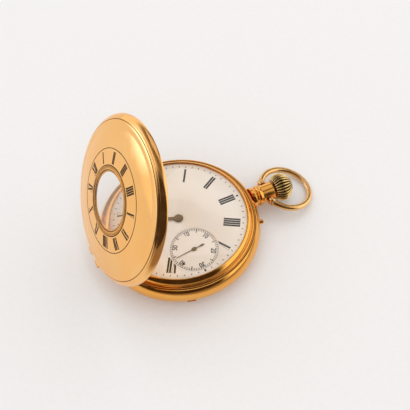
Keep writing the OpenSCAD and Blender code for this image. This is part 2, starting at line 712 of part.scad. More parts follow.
// Pendant parts; the bow hangs from its pivots until its far end rests on the table
module bow() color(gold) translate([bow_pivot_x, 0, stem_h]) rotate([0, bow_droop, 0]) difference() {
    union() {
        translate([bow_centre, 0, 0]) rotate([0, 0, 180 + bow_gap_angle])
            rotate_extrude(angle = 360 - 2 * bow_gap_angle, $fn = 128) translate([bow_r, 0])
                circle(d = bow_wire);
        for (s = [-1, 1]) rotate([-90 * s, 0, 0]) translate([0, 0, lug_in])
            cylinder(r = lug_r, h = lug_out - lug_in);
    }
    for (s = [-1, 1]) rotate([-90 * s, 0, 0]) translate([0, 0, lug_in - 1])
        cylinder(r = bow_screw_r + run_gap, h = lug_out - lug_in + 2);
    for (s = [-1, 1]) rotate([-90 * s, 0, 0]) translate([0, 0, lug_out])
        cylinder(r = bow_screw_head_r + pass_gap, h = 2.7);
    rotate([0, 90, 0]) cylinder(r = lug_in - 0.05, h = 4 * lug_r, center = true);
}
module bow_screws() color(deep_gold) for (s = [-1, 1]) bow_axis(s) {
    translate([0, 0, bow_screw_root]) cylinder(r = bow_screw_r, h = lug_out + 0.1 - bow_screw_root);
    difference() {
        translate([0, 0, lug_out + 0.06]) cylinder(r = bow_screw_head_r, h = 0.3);
        translate([-1, -0.09, lug_out + 0.22]) cube([2, 0.18, 0.3]);
    }
}
function crown_profile(k) = [for (i = [0:10]) let(t = i / 10)
    [crown_r * k * pow(sin(180 * (0.22 + 0.66 * t)), 0.7), crown_len * t * (0.97 + 0.03 * k)]];
module crown() color(deep_gold) along_stem(crown_x) difference() {
    union() {
        rotate_extrude() polygon(concat([[0, 0]], crown_profile(0.93), [[0, crown_len]]));
        for (i = [0:crown_ribs - 1]) rotate([0, 0, i * 360 / crown_ribs])
            rotate_extrude(angle = 360 / crown_ribs * 0.5)
                polygon(concat([[1, 0]], crown_profile(1), [[1, crown_len]]));
        translate([0, 0, crown_len - 0.3]) cylinder(r1 = crown_r * 0.5, r2 = crown_r * 0.38, h = 0.45);
    }
    translate([0, 0, -eps]) cylinder(r = stem_r, h = crown_bore);
}
module winding_stem() color(steel) {
    along_stem(stem_round_x) cylinder(r = stem_r, h = crown_x + crown_bore - eps - stem_round_x);
    translate([stem_start, -stem_square / 2, stem_h - stem_square / 2])
        cube([stem_round_x + 1 - stem_start, stem_square, stem_square]);
    along_stem(collar_x + collar_len + shut_gap) cylinder(r = flange_out, h = flange_t);
    along_stem(collar_x - flange_t - shut_gap) cylinder(r = flange_out, h = flange_t);
}
module release_collar() color(steel) along_stem(collar_x) ring(collar_out, stem_r + run_gap, collar_len);
module setting_pusher() color(gold) pusher_line() {
    translate([0, 0, pusher_root]) cylinder(r = pusher_r, h = pusher_tip - pusher_root - 0.2);
    translate([0, 0, pusher_tip - 0.2]) cylinder(r1 = pusher_r, r2 = pusher_r - 0.2, h = 0.2);
    translate([0, 0, pusher_root]) cylinder(r = pusher_r + 0.3, h = 0.4);
}
module spring_foot(span)
    sector(spring_foot_in, spring_out - eps, cavity_low, cavity_top, span[0], span[1]);
module spring_blade(span)
    sector(spring_in, spring_out, spring_low, spring_low + spring_h, span[0], span[1]);
module fly_spring() color(blued) {
    spring_blade(fly_spring_arc);
    spring_foot(fly_foot_arc);
}
module lock_spring() color(blued) {
    spring_blade(lock_spring_arc);
    spring_foot(lock_foot_arc);
    sector(spring_in - 0.3, spring_out - eps, spring_low, cavity_top - 0.1, lock_catch_arc[0],
        lock_catch_arc[1]);
}
module case_screws() color(blued) for (a = case_screw_at) rotate(a)
    translate([case_screw_r, 0, plate_low]) {
        cylinder(r = screw_r, h = screw_thread - eps);
        translate([0, 0, -case_screw_head_t]) difference() {
            cylinder(r = case_screw_head_r, h = case_screw_head_t);
            translate([-case_screw_head_r, -0.1, -eps]) cube([2 * case_screw_head_r, 0.2, 0.15]);
        }
    }

// Dial and hands
module dial() color(enamel) difference() {
    translate([0, 0, dial_low]) cylinder(r = dial_r, h = dial_t, $fn = 128);
    at(fourth_at, dial_low - eps) cylinder(r = seconds_dial_r, h = dial_t + 2 * eps);
    translate([0, 0, dial_low - eps]) cylinder(r = hour_tube_r + 0.3, h = dial_t + 2 * eps);
}
module seconds_dial() color(enamel) at(fourth_at, dial_low)
    ring(seconds_dial_r, second_tube_r + 0.25, seconds_dial_h - dial_low);
module dial_numerals() color(ink) translate([0, 0, dial_h]) linear_extrude(inlay_t / 2) difference() {
    for (n = [1:12]) if (n != 6) rotate(90 - n * 30) translate([numeral_r, 0]) rotate(-90)
        roman(n, numeral_h, stroke_w);
    translate(fourth_at) circle(r = seconds_dial_r + 0.3);
}
module hand_outline(len, w, boss, spade) {
    circle(r = boss);
    polygon([[-w * 0.7, 0], [w * 0.7, 0], [w * 0.5, len * 0.6], [w * 0.2, len], [-w * 0.2, len],
        [-w * 0.5, len * 0.6]]);
    translate([0, len * 0.7]) rotate(45) square(spade, center = true);
    translate([0, len * 0.7]) circle(r = spade * 0.55);
}
module hour_hand() color(hand_gold) translate([0, 0, hour_hand_h]) rotate(-hour_angle) difference() {
    linear_extrude(hand_t) hand_outline(len = hour_hand_len, w = 0.55, boss = 1.25, spade = 1.9);
    translate([0, 0, -eps]) cylinder(r = hour_tube_r, h = hand_t + 2 * eps);
}
module minute_hand() color(hand_gold) translate([0, 0, minute_hand_h]) rotate(-minute_angle)
    difference() {
        linear_extrude(hand_t) hand_outline(len = minute_hand_len, w = 0.5, boss = 0.95, spade = 1.4);
        translate([0, 0, -eps]) cylinder(r = cannon_r, h = hand_t + 2 * eps);
    }
module seconds_hand() color(hand_gold) at(fourth_at, seconds_hand_h) rotate(-second_angle)
    linear_extrude(seconds_hand_t) {
        circle(r = seconds_boss_r);
        polygon([[-0.14, -0.3], [0.14, -0.3], [0.06, seconds_hand_len], [-0.06, seconds_hand_len]]);
        translate([0, -seconds_tail]) circle(r = seconds_boss_r);
        translate([-0.1, -seconds_tail]) square([0.2, seconds_tail]);
    }

// Motion work between the plate and the dial
module cannon_pinion() color(steel) difference() {
    union() {
        translate([0, 0, motion_h]) linear_extrude(0.3)
            toothed(cannon_leaves, motion_module, motion_dir);
        translate([0, 0, motion_h]) cylinder(r = cannon_r, h = minute_hand_h + hand_t + 0.1 - motion_h);
    }
    translate([0, 0, motion_h - eps]) cylinder(r = centre_arbor_r, h = cannon_bore);
}
module minute_wheel() color(brass) at(minute_at, motion_h) difference() {
    union() {
        linear_extrude(motion_t)
            toothed(minute_teeth, motion_module, motion_dir + 180 + 180 / minute_teeth);
        translate([0, 0, motion_t - eps]) linear_extrude(0.42)
            toothed(minute_leaves, hour_module, motion_dir + 180 + 180 / minute_leaves);
    }
    translate([0, 0, -eps]) cylinder(r = minute_post_r + run_gap, h = 2);
}
module hour_wheel() color(brass) translate([0, 0, hour_wheel_h]) difference() {
    union() {
        linear_extrude(motion_t) toothed(hour_teeth, hour_module, motion_dir);
        cylinder(r = hour_tube_r, h = hour_hand_h + hand_t + 0.05 - hour_wheel_h);
    }
    translate([0, 0, -eps]) cylinder(r = cannon_r + run_gap, h = 3);
}

// Plate and bridges
module main_plate() color(gilt) difference() {
    union() {
        translate([0, 0, plate_low]) cylinder(r = plate_r, h = plate_t, $fn = 128);
        translate([0, 0, seat_h]) ring(seat_r, seat_r - 1.4, dial_low - seat_h);
        translate([0, 0, plate_low + plate_t - eps])
            ring(plate_r, seat_r - 1.4, seat_h - plate_low - plate_t + 2 * eps);
        at(minute_at, plate_low + plate_t - eps) cylinder(r = minute_post_r, h = 0.85);
    }
    for (p = [third_at, escape_at, lever_at, balance_at]) at(p, plate_low - eps)
        cylinder(r = jewel_r, h = jewel_t + eps);
    at(centre_at, plate_low - eps) cylinder(r = centre_arbor_r + run_gap, h = plate_t + 2 * eps);
    at(fourth_at, plate_low - eps) cylinder(r = fourth_arbor_r + run_gap, h = plate_t + 2 * eps);
    at(barrel_at, plate_low - eps) cylinder(r = barrel_pivot_r + run_gap, h = 1);
    translate([winding_pinion_x - winding_pinion_w / 2 - 0.5, -stem_slot_w / 2, plate_low - eps])
        cube([plate_r + 1, stem_slot_w, seat_h - plate_low + eps - 0.05]);
    for (p = pillar_at) at(p, plate_low - eps) cylinder(r = screw_r, h = screw_thread + 2 * eps);
    for (a = case_screw_at) rotate(a) translate([case_screw_r, 0, plate_low - eps])
        cylinder(r = screw_r, h = screw_thread);
}
module bridge(outline_r) difference() {
    intersection() {
        translate([0, 0, bridge_low]) cylinder(r = outline_r, h = bridge_t);
        children();
    }
    at(balance_at, bridge_low - eps) cylinder(r = balance_r + 0.5, h = bridge_t + 2 * eps);
    at(cock_foot_at, bridge_low - eps) cylinder(r = cock_foot_r + 0.5, h = bridge_t + 2 * eps);
    translate([winding_pinion_x - winding_pinion_w / 2 - 0.4, -stem_slot_w / 2, bridge_low - eps])
        cube([stem_slot_w, stem_slot_w, bridge_t + 2 * eps]);
    for (p = pillar_at) at(p, bridge_low - eps) cylinder(r = screw_r, h = bridge_t + 2);
}
module crown_wheel_room() at(crown_wheel_at, bridge_low - eps)
    cylinder(r = crown_wheel_teeth * winding_module / 2 + 0.5, h = face_tooth_h + pass_gap);
module pillars(list) for (p = list) at(p, bridge_top - eps) ring(pillar_r, screw_r, train_gap + eps);
module barrel_bridge() color(gilt) {
    difference() {
        bridge(bridge_r) translate([-case_r, split_y, bridge_low]) cube([2 * case_r, 2 * case_r, bridge_t]);
        at(barrel_at, bridge_low - eps) cylinder(r = barrel_pivot_r + run_gap, h = bridge_t + 2 * eps);
        crown_wheel_room();
        at(click_at, bridge_low - eps) cylinder(r = screw_r, h = bridge_t + 2 * eps);
        at(centre_at, bridge_low - eps) cylinder(r = jewel_r + 0.6, h = bridge_t + 2 * eps);
    }
    pillars(barrel_pillars);
}
module train_bridge() color(gilt) {
    difference() {
        bridge(bridge_r) translate([-case_r, split_y - 2 * case_r - pass_gap, bridge_low])
            cube([2 * case_r, 2 * case_r, bridge_t]);
        for (p = [centre_at, third_at, fourth_at]) at(p, bridge_low - eps)
            cylinder(r = jewel_r, h = bridge_t + 2 * eps);
        crown_wheel_room();
        at(crown_wheel_at, bridge_low - eps) cylinder(r = screw_r, h = bridge_t + 2 * eps);
    }
    pillars(train_pillars);
}
module balance_cock() color(gilt) difference() {
    union() {
        hull() {
            at(balance_at, cock_low) cylinder(r = 1.7, h = cock_t, $fn = 32);
            at(cock_foot_at, cock_low) cylinder(r = cock_foot_r, h = cock_t, $fn = 32);
        }
        at(cock_foot_at, cock_low) cylinder(r = pillar_r, h = plate_low - cock_low);
    }
    at(balance_at, cock_low - eps) cylinder(r = jewel_r, h = cock_t + 2 * eps);
    at(cock_foot_at, cock_low - eps) cylinder(r = screw_r, h = plate_low - cock_low + 1);
}
module pallet_cock() color(gilt) difference() {
    union() {
        hull() for (p = [lever_at, escape_at, pallet_foot_at]) at(p, pallet_cock_low)
            cylinder(r = 1, h = pallet_cock_t, $fn = 32);
        at(pallet_foot_at, pallet_cock_low) cylinder(r = 1, h = plate_low - pallet_cock_low);
    }
    for (p = [lever_at, escape_at]) at(p, pallet_cock_low - eps)
        cylinder(r = jewel_r * 0.8, h = pallet_cock_t + 2 * eps);
    at(pallet_foot_at, pallet_cock_low - eps) cylinder(r = screw_r, h = plate_low - pallet_cock_low + 1);
}
module bridge_screw(p, low, high) {
    at(p, low) cylinder(r = screw_r, h = high - low);
    at(p, low - screw_head_t) difference() {
        cylinder(r = screw_r * 1.8, h = screw_head_t);
        translate([-1, -0.08, -eps]) cube([2, 0.16, 0.12]);
    }
}
module bridge_screws() color(blued) {
    for (p = pillar_at) bridge_screw(p, bridge_low, plate_low + screw_thread);
    bridge_screw(cock_foot_at, cock_low, plate_low - 0.1);
    bridge_screw(pallet_foot_at, pallet_cock_low, plate_low - 0.1);
}
module jewel(p, low, t, r, hole) at(p, low) ring(r, hole, t);
module jewels() color(ruby) {
    jewel_hole = pivot_r + run_gap;
    for (p = [third_at, escape_at, lever_at, balance_at]) jewel(p, plate_low, jewel_t, jewel_r, jewel_hole);
    for (p = [third_at, fourth_at]) jewel(p, bridge_low, bridge_t, jewel_r, jewel_hole);
    jewel(centre_at, bridge_low, bridge_t, jewel_r, pivot_r * 1.5 + run_gap);
    jewel(balance_at, cock_low, cock_t, jewel_r, jewel_hole);
    for (p = [lever_at, escape_at])
        jewel(p, pallet_cock_low, pallet_cock_t, jewel_r * 0.8, jewel_hole);
}

// Mainspring barrel
module barrel() color(brass) at(barrel_at, 0) difference() {
    union() {
        translate([0, 0, barrel_low]) cylinder(r = barrel_drum_r, h = barrel_top - barrel_low);
        translate([0, 0, barrel_rim_h]) linear_extrude(0.3)
            toothed(barrel_teeth, barrel_module, barrel_dir + 180);
    }
    translate([0, 0, barrel_low - eps])
        cylinder(r = barrel_drum_r - 0.3, h = barrel_top - barrel_low - 0.25);
    translate([0, 0, barrel_low]) cylinder(r = barrel_pivot_r + run_gap, h = 3);
}
module barrel_cover() color(brass) at(barrel_at, barrel_low)
    ring(barrel_drum_r - 0.3, barrel_pivot_r + run_gap, 0.2);
module barrel_arbor() color(steel) at(barrel_at, 0) {
    translate([0, 0, keyless_h]) cylinder(r = barrel_pivot_r, h = plate_low + 0.9 - keyless_h);
    translate([0, 0, barrel_low + 0.25]) cylinder(r = barrel_core_r, h = barrel_top - barrel_low - 0.6);
}
module spiral_strip(start_r, end_r, turns, w) {
    n = turns * 20;
    polygon(concat([for (i = [0:n]) spiral_point(start_r, end_r, turns, i / n, 0)],
        [for (i = [n:-1:0]) spiral_point(start_r, end_r, turns, i / n, w)]));
}
function spiral_point(start_r, end_r, turns, t, w) = let(a = 360 * turns * t, r = start_r
    + (end_r - start_r) * t + w) r * [cos(a), sin(a)];
module mainspring() color(steel) at(barrel_at, barrel_low + 0.35)
    linear_extrude(barrel_top - barrel_low - 0.8)
        spiral_strip(barrel_core_r + 0.1, barrel_drum_r - 0.6, mainspring_turns, 0.18);

// Keyless work on the back of the bridges
module ratchet_wheel() color(steel) at(barrel_at, keyless_h) difference() {
    linear_extrude(keyless_t) toothed(ratchet_teeth, winding_module, mesh_dir + 180 / ratchet_teeth);
    translate([0, 0, -eps]) cylinder(r = barrel_pivot_r, h = keyless_t + 2 * eps);
}
module ratchet_screw() color(blued) at(barrel_at, keyless_h - 0.3) difference() {
    cylinder(r = 1.6, h = 0.3);
    translate([-2, -0.15, -eps]) cube([4, 0.3, 0.15]);
}
module click() color(steel) at(click_at, keyless_h) difference() {
    rotate(click_dir) linear_extrude(keyless_t) {
        circle(r = 0.95);
        polygon([[-0.6, -0.8], [1.6, -2.3], [1.95, -2.1], [0.9, 0.3]]);
    }
    translate([0, 0, -eps]) cylinder(r = screw_r + run_gap, h = keyless_t + 2 * eps);
}
module click_spring() color(steel) at(click_at, keyless_h) rotate(click_dir)
    sector(1.5, 1.68, 0, keyless_t, 60, 175);
module crown_wheel() color(steel) at(crown_wheel_at, keyless_h) difference() {
    union() {
        linear_extrude(keyless_t) toothed(crown_wheel_teeth, winding_module, mesh_dir + 180);
        for (i = [0:crown_wheel_teeth - 1]) rotate((i + 0.5) * 360 / crown_wheel_teeth)
            translate([winding_teeth_r - 0.45, -0.13, keyless_t - eps]) cube([0.9, 0.26, face_tooth_h]);
    }
    translate([0, 0, -eps]) cylinder(r = crown_hub_r + run_gap, h = keyless_t + 2 * eps);
}
module crown_wheel_screw() color(blued) at(crown_wheel_at, 0) {
    translate([0, 0, keyless_h]) cylinder(r = crown_hub_r,
        h = bridge_low + face_tooth_h + pass_gap - eps - keyless_h);
    translate([0, 0, keyless_h - 0.25]) cylinder(r = crown_hub_r + 0.6, h = 0.22);
    translate([0, 0, keyless_h - 0.1]) cylinder(r = screw_r, h = bridge_top - keyless_h);
}
module winding_pinion() color(steel) along_stem(winding_pinion_x - winding_pinion_w / 2) difference() {
    linear_extrude(winding_pinion_w) face_pinion();
    translate([-stem_room / 2, -stem_room / 2, -eps])
        cube([stem_room, stem_room, winding_pinion_w + 2 * eps]);
}
module face_pinion() polygon([for (i = [0:winding_teeth - 1],
    c = [[-0.24, 2.08], [-0.13, 2.52], [0.13, 2.52], [0.24, 2.08]])
    let(a = (i + c[0]) * 360 / winding_teeth) c[1] * [cos(a), sin(a)]]);

// Going train
module centre_wheel() color(brass) {
    arbor(pivot_low, shoulder_low, shoulder_high, centre_arbor_top, cannon_r, pivot_r * 1.5);
    translate([0, 0, shoulder_high - eps])
        cylinder(r = centre_arbor_r, h = centre_arbor_top - shoulder_high);
    translate([0, 0, centre_wheel_h])
        spoked(centre_teeth, centre_module, -90 + third_swing, 5, wheel_t, 1.3);
    translate([0, 0, barrel_rim_h - 0.4]) linear_extrude(1)
        toothed(pinion_leaves, barrel_module, barrel_dir + 180 / pinion_leaves);
}
module train_wheel(p, teeth, wheel_module, wheel_h, phase, leaves, pinion_module, pinion_h, pinion_len,
    pinion_phase) at(p, 0) {
    translate([0, 0, wheel_h]) spoked(teeth, wheel_module, phase, 5, wheel_t, 1);
    translate([0, 0, pinion_h]) linear_extrude(pinion_len) toothed(leaves, pinion_module, pinion_phase);
}
function line_dir(a, b) = atan2(b[1] - a[1], b[0] - a[0]);
module third_wheel() color(brass) {
    train_wheel(third_at, third_teeth, third_module, third_wheel_h, line_dir(third_at, fourth_at),
        pinion_leaves, centre_module, centre_wheel_h - 0.2, 0.55,
        line_dir(third_at, centre_at) + 180 / pinion_leaves);
    at(third_at, 0) arbor(pivot_low, shoulder_low, shoulder_high, pivot_high, arbor_r, pivot_r);
}
module fourth_wheel() color(brass) {
    train_wheel(fourth_at, fourth_teeth, fourth_module, fourth_wheel_h, line_dir(fourth_at, escape_at),
        pinion_leaves, third_module, third_wheel_h - 0.25, 0.75,
        line_dir(fourth_at, third_at) + 180 / pinion_leaves);
    at(fourth_at, 0) {
        arbor(pivot_low, shoulder_low, shoulder_high, shoulder_high + 0.1, arbor_r, pivot_r);
        translate([0, 0, shoulder_high - eps]) cylinder(r = fourth_arbor_r,
            h = seconds_hand_h - shoulder_high + eps);
    }
}
module escape_wheel() color(steel) at(escape_at, 0) {
    translate([0, 0, escape_wheel_h]) linear_extrude(escape_wheel_t) difference() {
        union() {
            circle(r = escape_rim_r);
            for (i = [0:escape_teeth - 1]) rotate(i * 360 / escape_teeth)
                polygon([[escape_rim_r - 0.1, -0.2], [escape_r, 0.12], [escape_r, 0.3],
                    [escape_rim_r - 0.1, 0.2]]);
        }
        difference() {
            circle(r = escape_rim_r - 0.35);
            circle(r = 0.6);
            for (i = [0:3]) rotate(i * 90) translate([0, -0.12]) square([2, 0.24]);
        }
    }
    translate([0, 0, fourth_wheel_h - 0.2]) linear_extrude(0.6)
        toothed(escape_leaves, fourth_module, line_dir(escape_at, fourth_at) + 180 / escape_leaves);
    arbor(pallet_pivot_low, escape_wheel_h - 0.1, shoulder_high, pivot_high, arbor_r, pivot_r);
}
module pallet_lever() color(steel) at(lever_at, 0) {
    translate([0, 0, lever_h]) rotate(lever_dir) linear_extrude(fork_t) {
        circle(r = 0.5);
        translate([0, -0.16]) square([fork_len - 0.5, 0.32]);
        for (s = [-1, 1]) {
            translate([fork_len - 0.75, s * 0.22 - 0.1]) square([0.7, 0.2]);
            polygon([[-0.35, 0], [0.25, 0], [-0.3, s * stone_y], [-0.75, s * stone_y]]);
        }
        translate([fork_len - 0.75, -0.3]) square([0.3, 0.6]);
    }
    arbor(pallet_pivot_low, lever_h - 0.1, shoulder_high, pivot_high, 0.16, pivot_r);
}
module pallet_stones() color(ruby) at(lever_at, lever_h) rotate(lever_dir) for (s = [-1, 1])
    translate([-0.98, s * stone_y - (s > 0 ? 0 : 0.24), 0]) cube([0.66, 0.24, fork_t]);

// Balance
module balance_wheel() color(gilt) at(balance_at, balance_h) difference() {
    union() {
        ring(balance_r, balance_r - 0.75, balance_t);
        translate([-balance_r + 0.4, -0.35, balance_t * 0.6])
            cube([2 * balance_r - 0.8, 0.7, balance_t * 0.4]);
        translate([0, 0, balance_t * 0.6]) cylinder(r = 0.8, h = balance_t * 0.4);
    }
    translate([0, 0, -eps]) cylinder(r = staff_r, h = balance_t + 2 * eps);
}
module balance_staff() color(steel) at(balance_at, 0) {
    arbor(cock_low + 0.05, cock_top + 0.05, shoulder_high, pivot_high, staff_r, pivot_r);
    translate([0, 0, roller_h]) cylinder(r = 1.1, h = 0.15);
    rotate(lever_dir + 180) translate([0.85, 0, roller_h])
        cylinder(r = pivot_r, h = lever_h - 0.06 - roller_h);
}
module hairspring() color(blued) at(balance_at, hairspring_h) linear_extrude(hairspring_w)
    spiral_strip(staff_r + 0.08, 2.9, hairspring_turns, 0.09);
module regulator() color(steel) at(balance_at, cock_low - regulator_t) {
    ring(1.2, 0.3, regulator_t);
    rotate(line_dir(balance_at, cock_foot_at)) translate([1.1, -regulator_w / 2, 0])
        cube([regulator_len, regulator_w, regulator_t]);
    rotate(line_dir(balance_at, cock_foot_at) + 180) translate([1.1, -regulator_w / 2, 0])
        cube([regulator_tail, regulator_w, regulator_t]);
}

case_band();
pendant();
bezel();
crystal();
front_cover();
cover_window_ring();
cover_crystal();
cover_numerals();
back_cover();
cuvette();
hinge_pins();
bow();
bow_screws();
crown();
winding_stem();
release_collar();
setting_pusher();
fly_spring();
lock_spring();
case_screws();
dial();
seconds_dial();
dial_numerals();
main_plate();
barrel_bridge();
train_bridge();
balance_cock();
pallet_cock();
bridge_screws();
jewels();
barrel();
barrel_cover();
barrel_arbor();
mainspring();
ratchet_wheel();
ratchet_screw();
click();
click_spring();
crown_wheel();
crown_wheel_screw();
winding_pinion();
centre_wheel();
cannon_pinion();
minute_wheel();
hour_wheel();
third_wheel();
fourth_wheel();
escape_wheel();
pallet_lever();
pallet_stones();
balance_wheel();
balance_staff();
hairspring();
regulator();
hour_hand();
minute_hand();
seconds_hand();
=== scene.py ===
import json
import math

import bmesh
import bpy
from mathutils import Matrix, Vector


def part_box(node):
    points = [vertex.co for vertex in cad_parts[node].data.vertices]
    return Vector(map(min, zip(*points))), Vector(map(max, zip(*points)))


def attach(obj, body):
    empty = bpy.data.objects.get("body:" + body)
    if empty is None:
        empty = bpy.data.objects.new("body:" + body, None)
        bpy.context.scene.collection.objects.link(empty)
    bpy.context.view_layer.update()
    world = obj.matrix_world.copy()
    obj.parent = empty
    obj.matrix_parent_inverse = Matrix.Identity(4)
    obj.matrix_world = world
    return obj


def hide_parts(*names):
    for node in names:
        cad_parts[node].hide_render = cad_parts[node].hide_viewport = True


bl_info = {
    "name": "Half-hunter pocket watch",
    "version": (1, 0, 0),
    "blender": (4, 5, 0),
    "location": "View3D > Sidebar > Watch",
    "description": "Builds a gold half-hunter pocket watch round its solid parts",
    "category": "Object",
}

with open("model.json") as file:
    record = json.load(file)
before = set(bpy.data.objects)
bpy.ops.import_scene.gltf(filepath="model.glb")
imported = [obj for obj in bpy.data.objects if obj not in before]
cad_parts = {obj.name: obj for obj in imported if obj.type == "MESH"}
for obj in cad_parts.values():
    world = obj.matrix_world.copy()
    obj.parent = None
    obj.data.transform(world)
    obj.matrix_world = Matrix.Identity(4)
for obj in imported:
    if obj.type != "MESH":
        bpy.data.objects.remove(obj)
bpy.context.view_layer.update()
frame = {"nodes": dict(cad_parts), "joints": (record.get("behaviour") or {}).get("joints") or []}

# Millimetres in metres, steps round a turned piece, the least length, and the least bend that is rounded
MM = 0.001
ROUND, FINE_ROUND = 192, 256
CLOSE = 1e-6
LEAST_BEND = 0.12

# Half the floor's width and its gap below the watch, in metres
FLOOR_HALF, FLOOR_GAP = 3, 0.00002


# Where things stand, from the solids, in millimetres
def solid_span(node):
    return [[c / MM for c in corner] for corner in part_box(node)]


def joint_named(name):
    return next(j for j in frame["joints"] if j["name"] == name)


def joint_place(name):
    return [c / MM for c in joint_named(name).get("pos_m", (0, 0, 0))]


FRONT_HINGE = joint_place("front_cover_hinge")
BACK_HINGE = joint_place("back_cover_hinge")
CUVETTE_HINGE = joint_place("cuvette_hinge")
SECONDS_AXIS = joint_place("seconds_spin")
BOW_PIVOT = joint_place("bow_swing")
OPEN_ANGLE = joint_named("front_cover_hinge")["range_deg"][1]
STEM_Z = BOW_PIVOT[2]
DIAL_Z = solid_span("dial")[1][2]
SECONDS_Z = solid_span("seconds_dial")[1][2]
HINGE_TURN = math.atan2(BACK_HINGE[1], BACK_HINGE[0])
KNUCKLE_R, PIN_R, KNUCKLE_GAP = 0.66, 0.26, 0.08
FRONT_HINGE_LEN, BACK_HINGE_LEN, CUVETTE_HINGE_LEN = 13, 10, 6
CUVETTE_KNUCKLE_R, CUVETTE_PIN_R = 0.42, 0.18
HINGE_PLAY = 0.03


class WatchSizes(bpy.types.PropertyGroup):
    """Sizes of the details that the builder adds, in metres"""

    line: bpy.props.FloatProperty(
        name="Engraved line", description="Width of the fine lines on the cover",
        default=0.00016, min=0.00005, unit="LENGTH")
    enamel: bpy.props.FloatProperty(
        name="Enamel", description="Height of the enamel numerals above their ground",
        default=0.00002, min=0.000005, unit="LENGTH")
    crown_groove: bpy.props.FloatProperty(
        name="Crown groove", description="Depth of the grooves round the crown",
        default=0.0006, min=0.0001, unit="LENGTH")
    crown_ribs: bpy.props.IntProperty(
        name="Crown ribs", description="Ribs round the crown", default=28, min=12)
    beads: bpy.props.IntProperty(
        name="Beads", description="Beads milled round the cover's window", default=60, min=24)


def colour_choice(name, description, default):
    return bpy.props.FloatVectorProperty(
        name=name, description=description, default=default, subtype="COLOR", size=3, min=0, max=1)


class WatchColours(bpy.types.PropertyGroup):
    """Colours of the finishes"""

    gold: colour_choice("Gold", "Polished gold of the case", (0.93, 0.475, 0.115))
    satin: colour_choice("Satin gold", "Softly brushed gold of the front cover", (1.0, 0.56, 0.2))
    worn: colour_choice("Worn gold", "Darkened gold of the crown", (1.0, 0.72, 0.3))
    enamel: colour_choice("Dial enamel", "White enamel of the dial", (1.0, 0.89, 0.8))
    ink: colour_choice("Ink", "Black enamel of the numerals", (0.014, 0.008, 0.006))
    hands: colour_choice("Hands", "Dark gold of the hands", (0.3, 0.17, 0.045))
    gilding: colour_choice("Gilding", "Frosted gilding of the plates", (0.83, 0.6, 0.27))
    brass: colour_choice("Brass", "Polished brass of the wheels", (0.78, 0.56, 0.24))
    steel: colour_choice("Steel", "Polished steel", (0.52, 0.53, 0.55))
    blue: colour_choice("Blued steel", "Heat-blued steel", (0.03, 0.06, 0.26))
    ruby: colour_choice("Ruby", "Red of the jewels", (0.5, 0.015, 0.06))
    # Dark brown painted into grooves and gaps as shade, partly their tarnish; it also browns the cover's
    # numerals
    patina: colour_choice("Patina", "Dark brown left in turned lines and grooves", (0.09, 0.035, 0.01))
    floor: colour_choice("Floor", "Pale floor", (0.865, 0.86, 0.855))


# Shader maths as expressions
class Value:
    """A socket of a material's node tree, with arithmetic that adds Math nodes"""

    def __init__(self, finish, socket):
        self.finish = finish
        self.socket = socket

    def maths(self, operation, *others):
        inputs = dict(enumerate((self, *others)))
        return self.finish.add("ShaderNodeMath", {"operation": operation}, inputs)

    def __add__(self, other):
        return self.maths("ADD", other)

    def __mul__(self, other):
        return self.maths("MULTIPLY", other)

    __radd__ = __add__
    __rmul__ = __mul__

    def between(self, low, high):
        return self.finish.add(
            "ShaderNodeMapRange", {"interpolation_type": "SMOOTHSTEP"},
            {"Value": self, "From Min": low, "From Max": high})


class Finish:
    """The node tree of a procedural material or of a world"""

    def __init__(self, owner):
        owner.use_nodes = True
        self.owner = owner
        self.tree = owner.node_tree
        self.tree.nodes.clear()

    @classmethod
    def material(cls, name):
        return cls(bpy.data.materials.new(name))

    def add(self, kind, settings=None, inputs=None, output=0):
        node = self.tree.nodes.new(kind)
        for key, value in (settings or {}).items():
            setattr(node, key, value)
        for key, value in (inputs or {}).items():
            self.feed(node.inputs[key], value)
        return Value(self, node.outputs[output])

    def feed(self, socket, value):
        if isinstance(value, Value):
            self.tree.links.new(value.socket, socket)
        elif socket.type == "RGBA" and len(value) == 3:
            socket.default_value = (*value, 1)
        else:
            socket.default_value = value

    def mix(self, factor, first, second):
        return self.add(
            "ShaderNodeMix", {"data_type": "RGBA"}, {0: factor, 6: first, 7: second}, 2)

    def dot(self, first, second):
        return self.add("ShaderNodeVectorMath", {"operation": "DOT_PRODUCT"}, {0: first, 1: second}, 1)

    def place(self, stretch=(1, 1, 1)):
        spot = self.add("ShaderNodeTexCoord", output="Object")
        return self.add("ShaderNodeMapping", inputs={"Vector": spot, "Scale": stretch})

    def noise(self, scale, detail=3, stretch=(1, 1, 1)):
        return self.add(
            "ShaderNodeTexNoise", inputs={"Vector": self.place(stretch), "Scale": scale, "Detail": detail})

    def bump(self, height, distance, strength=1.0):
        return self.add(
            "ShaderNodeBump", inputs={"Height": height, "Distance": distance, "Strength": strength})

    def show(self, shader, kind="ShaderNodeOutputMaterial"):
        self.tree.links.new(shader.socket, self.tree.nodes.new(kind).inputs["Surface"])
        return self.owner

    def surface(self, inputs):
        return self.show(self.add("ShaderNodeBsdfPrincipled", inputs=inputs))


def shade(colour, *by):
    """A colour times one number, or times one number for each channel"""
    return [c * b for c, b in zip(colour, by if len(by) > 1 else by * 3)]


def metal(name, colour, deep, roughness, scratch=0.3, grain=0.0):
    """Metal with drifting tone, faint hairlines in three directions and an optional fine grain"""
    finish = Finish.material(name)
    drift = finish.noise(90, 2).between(0.35, 0.7)
    smudge = finish.noise(420, 4).between(0.42, 0.68)
    lines = [finish.noise(900, 2, s).between(0.6, 0.72) for s in ((1, 14, 3), (13, 1, 3), (5, 5, 0.4))]
    hair = lines[0] + lines[1] + lines[2]
    fine = finish.noise(9000, 2)
    height = hair * scratch + fine * grain
    return finish.surface({
        "Base Color": finish.mix(drift, colour, deep),
        "Metallic": 1.0,
        "Roughness": smudge * 0.08 + hair * 0.02 + roughness,
        "Normal": finish.bump(height, 0.000004),
    })


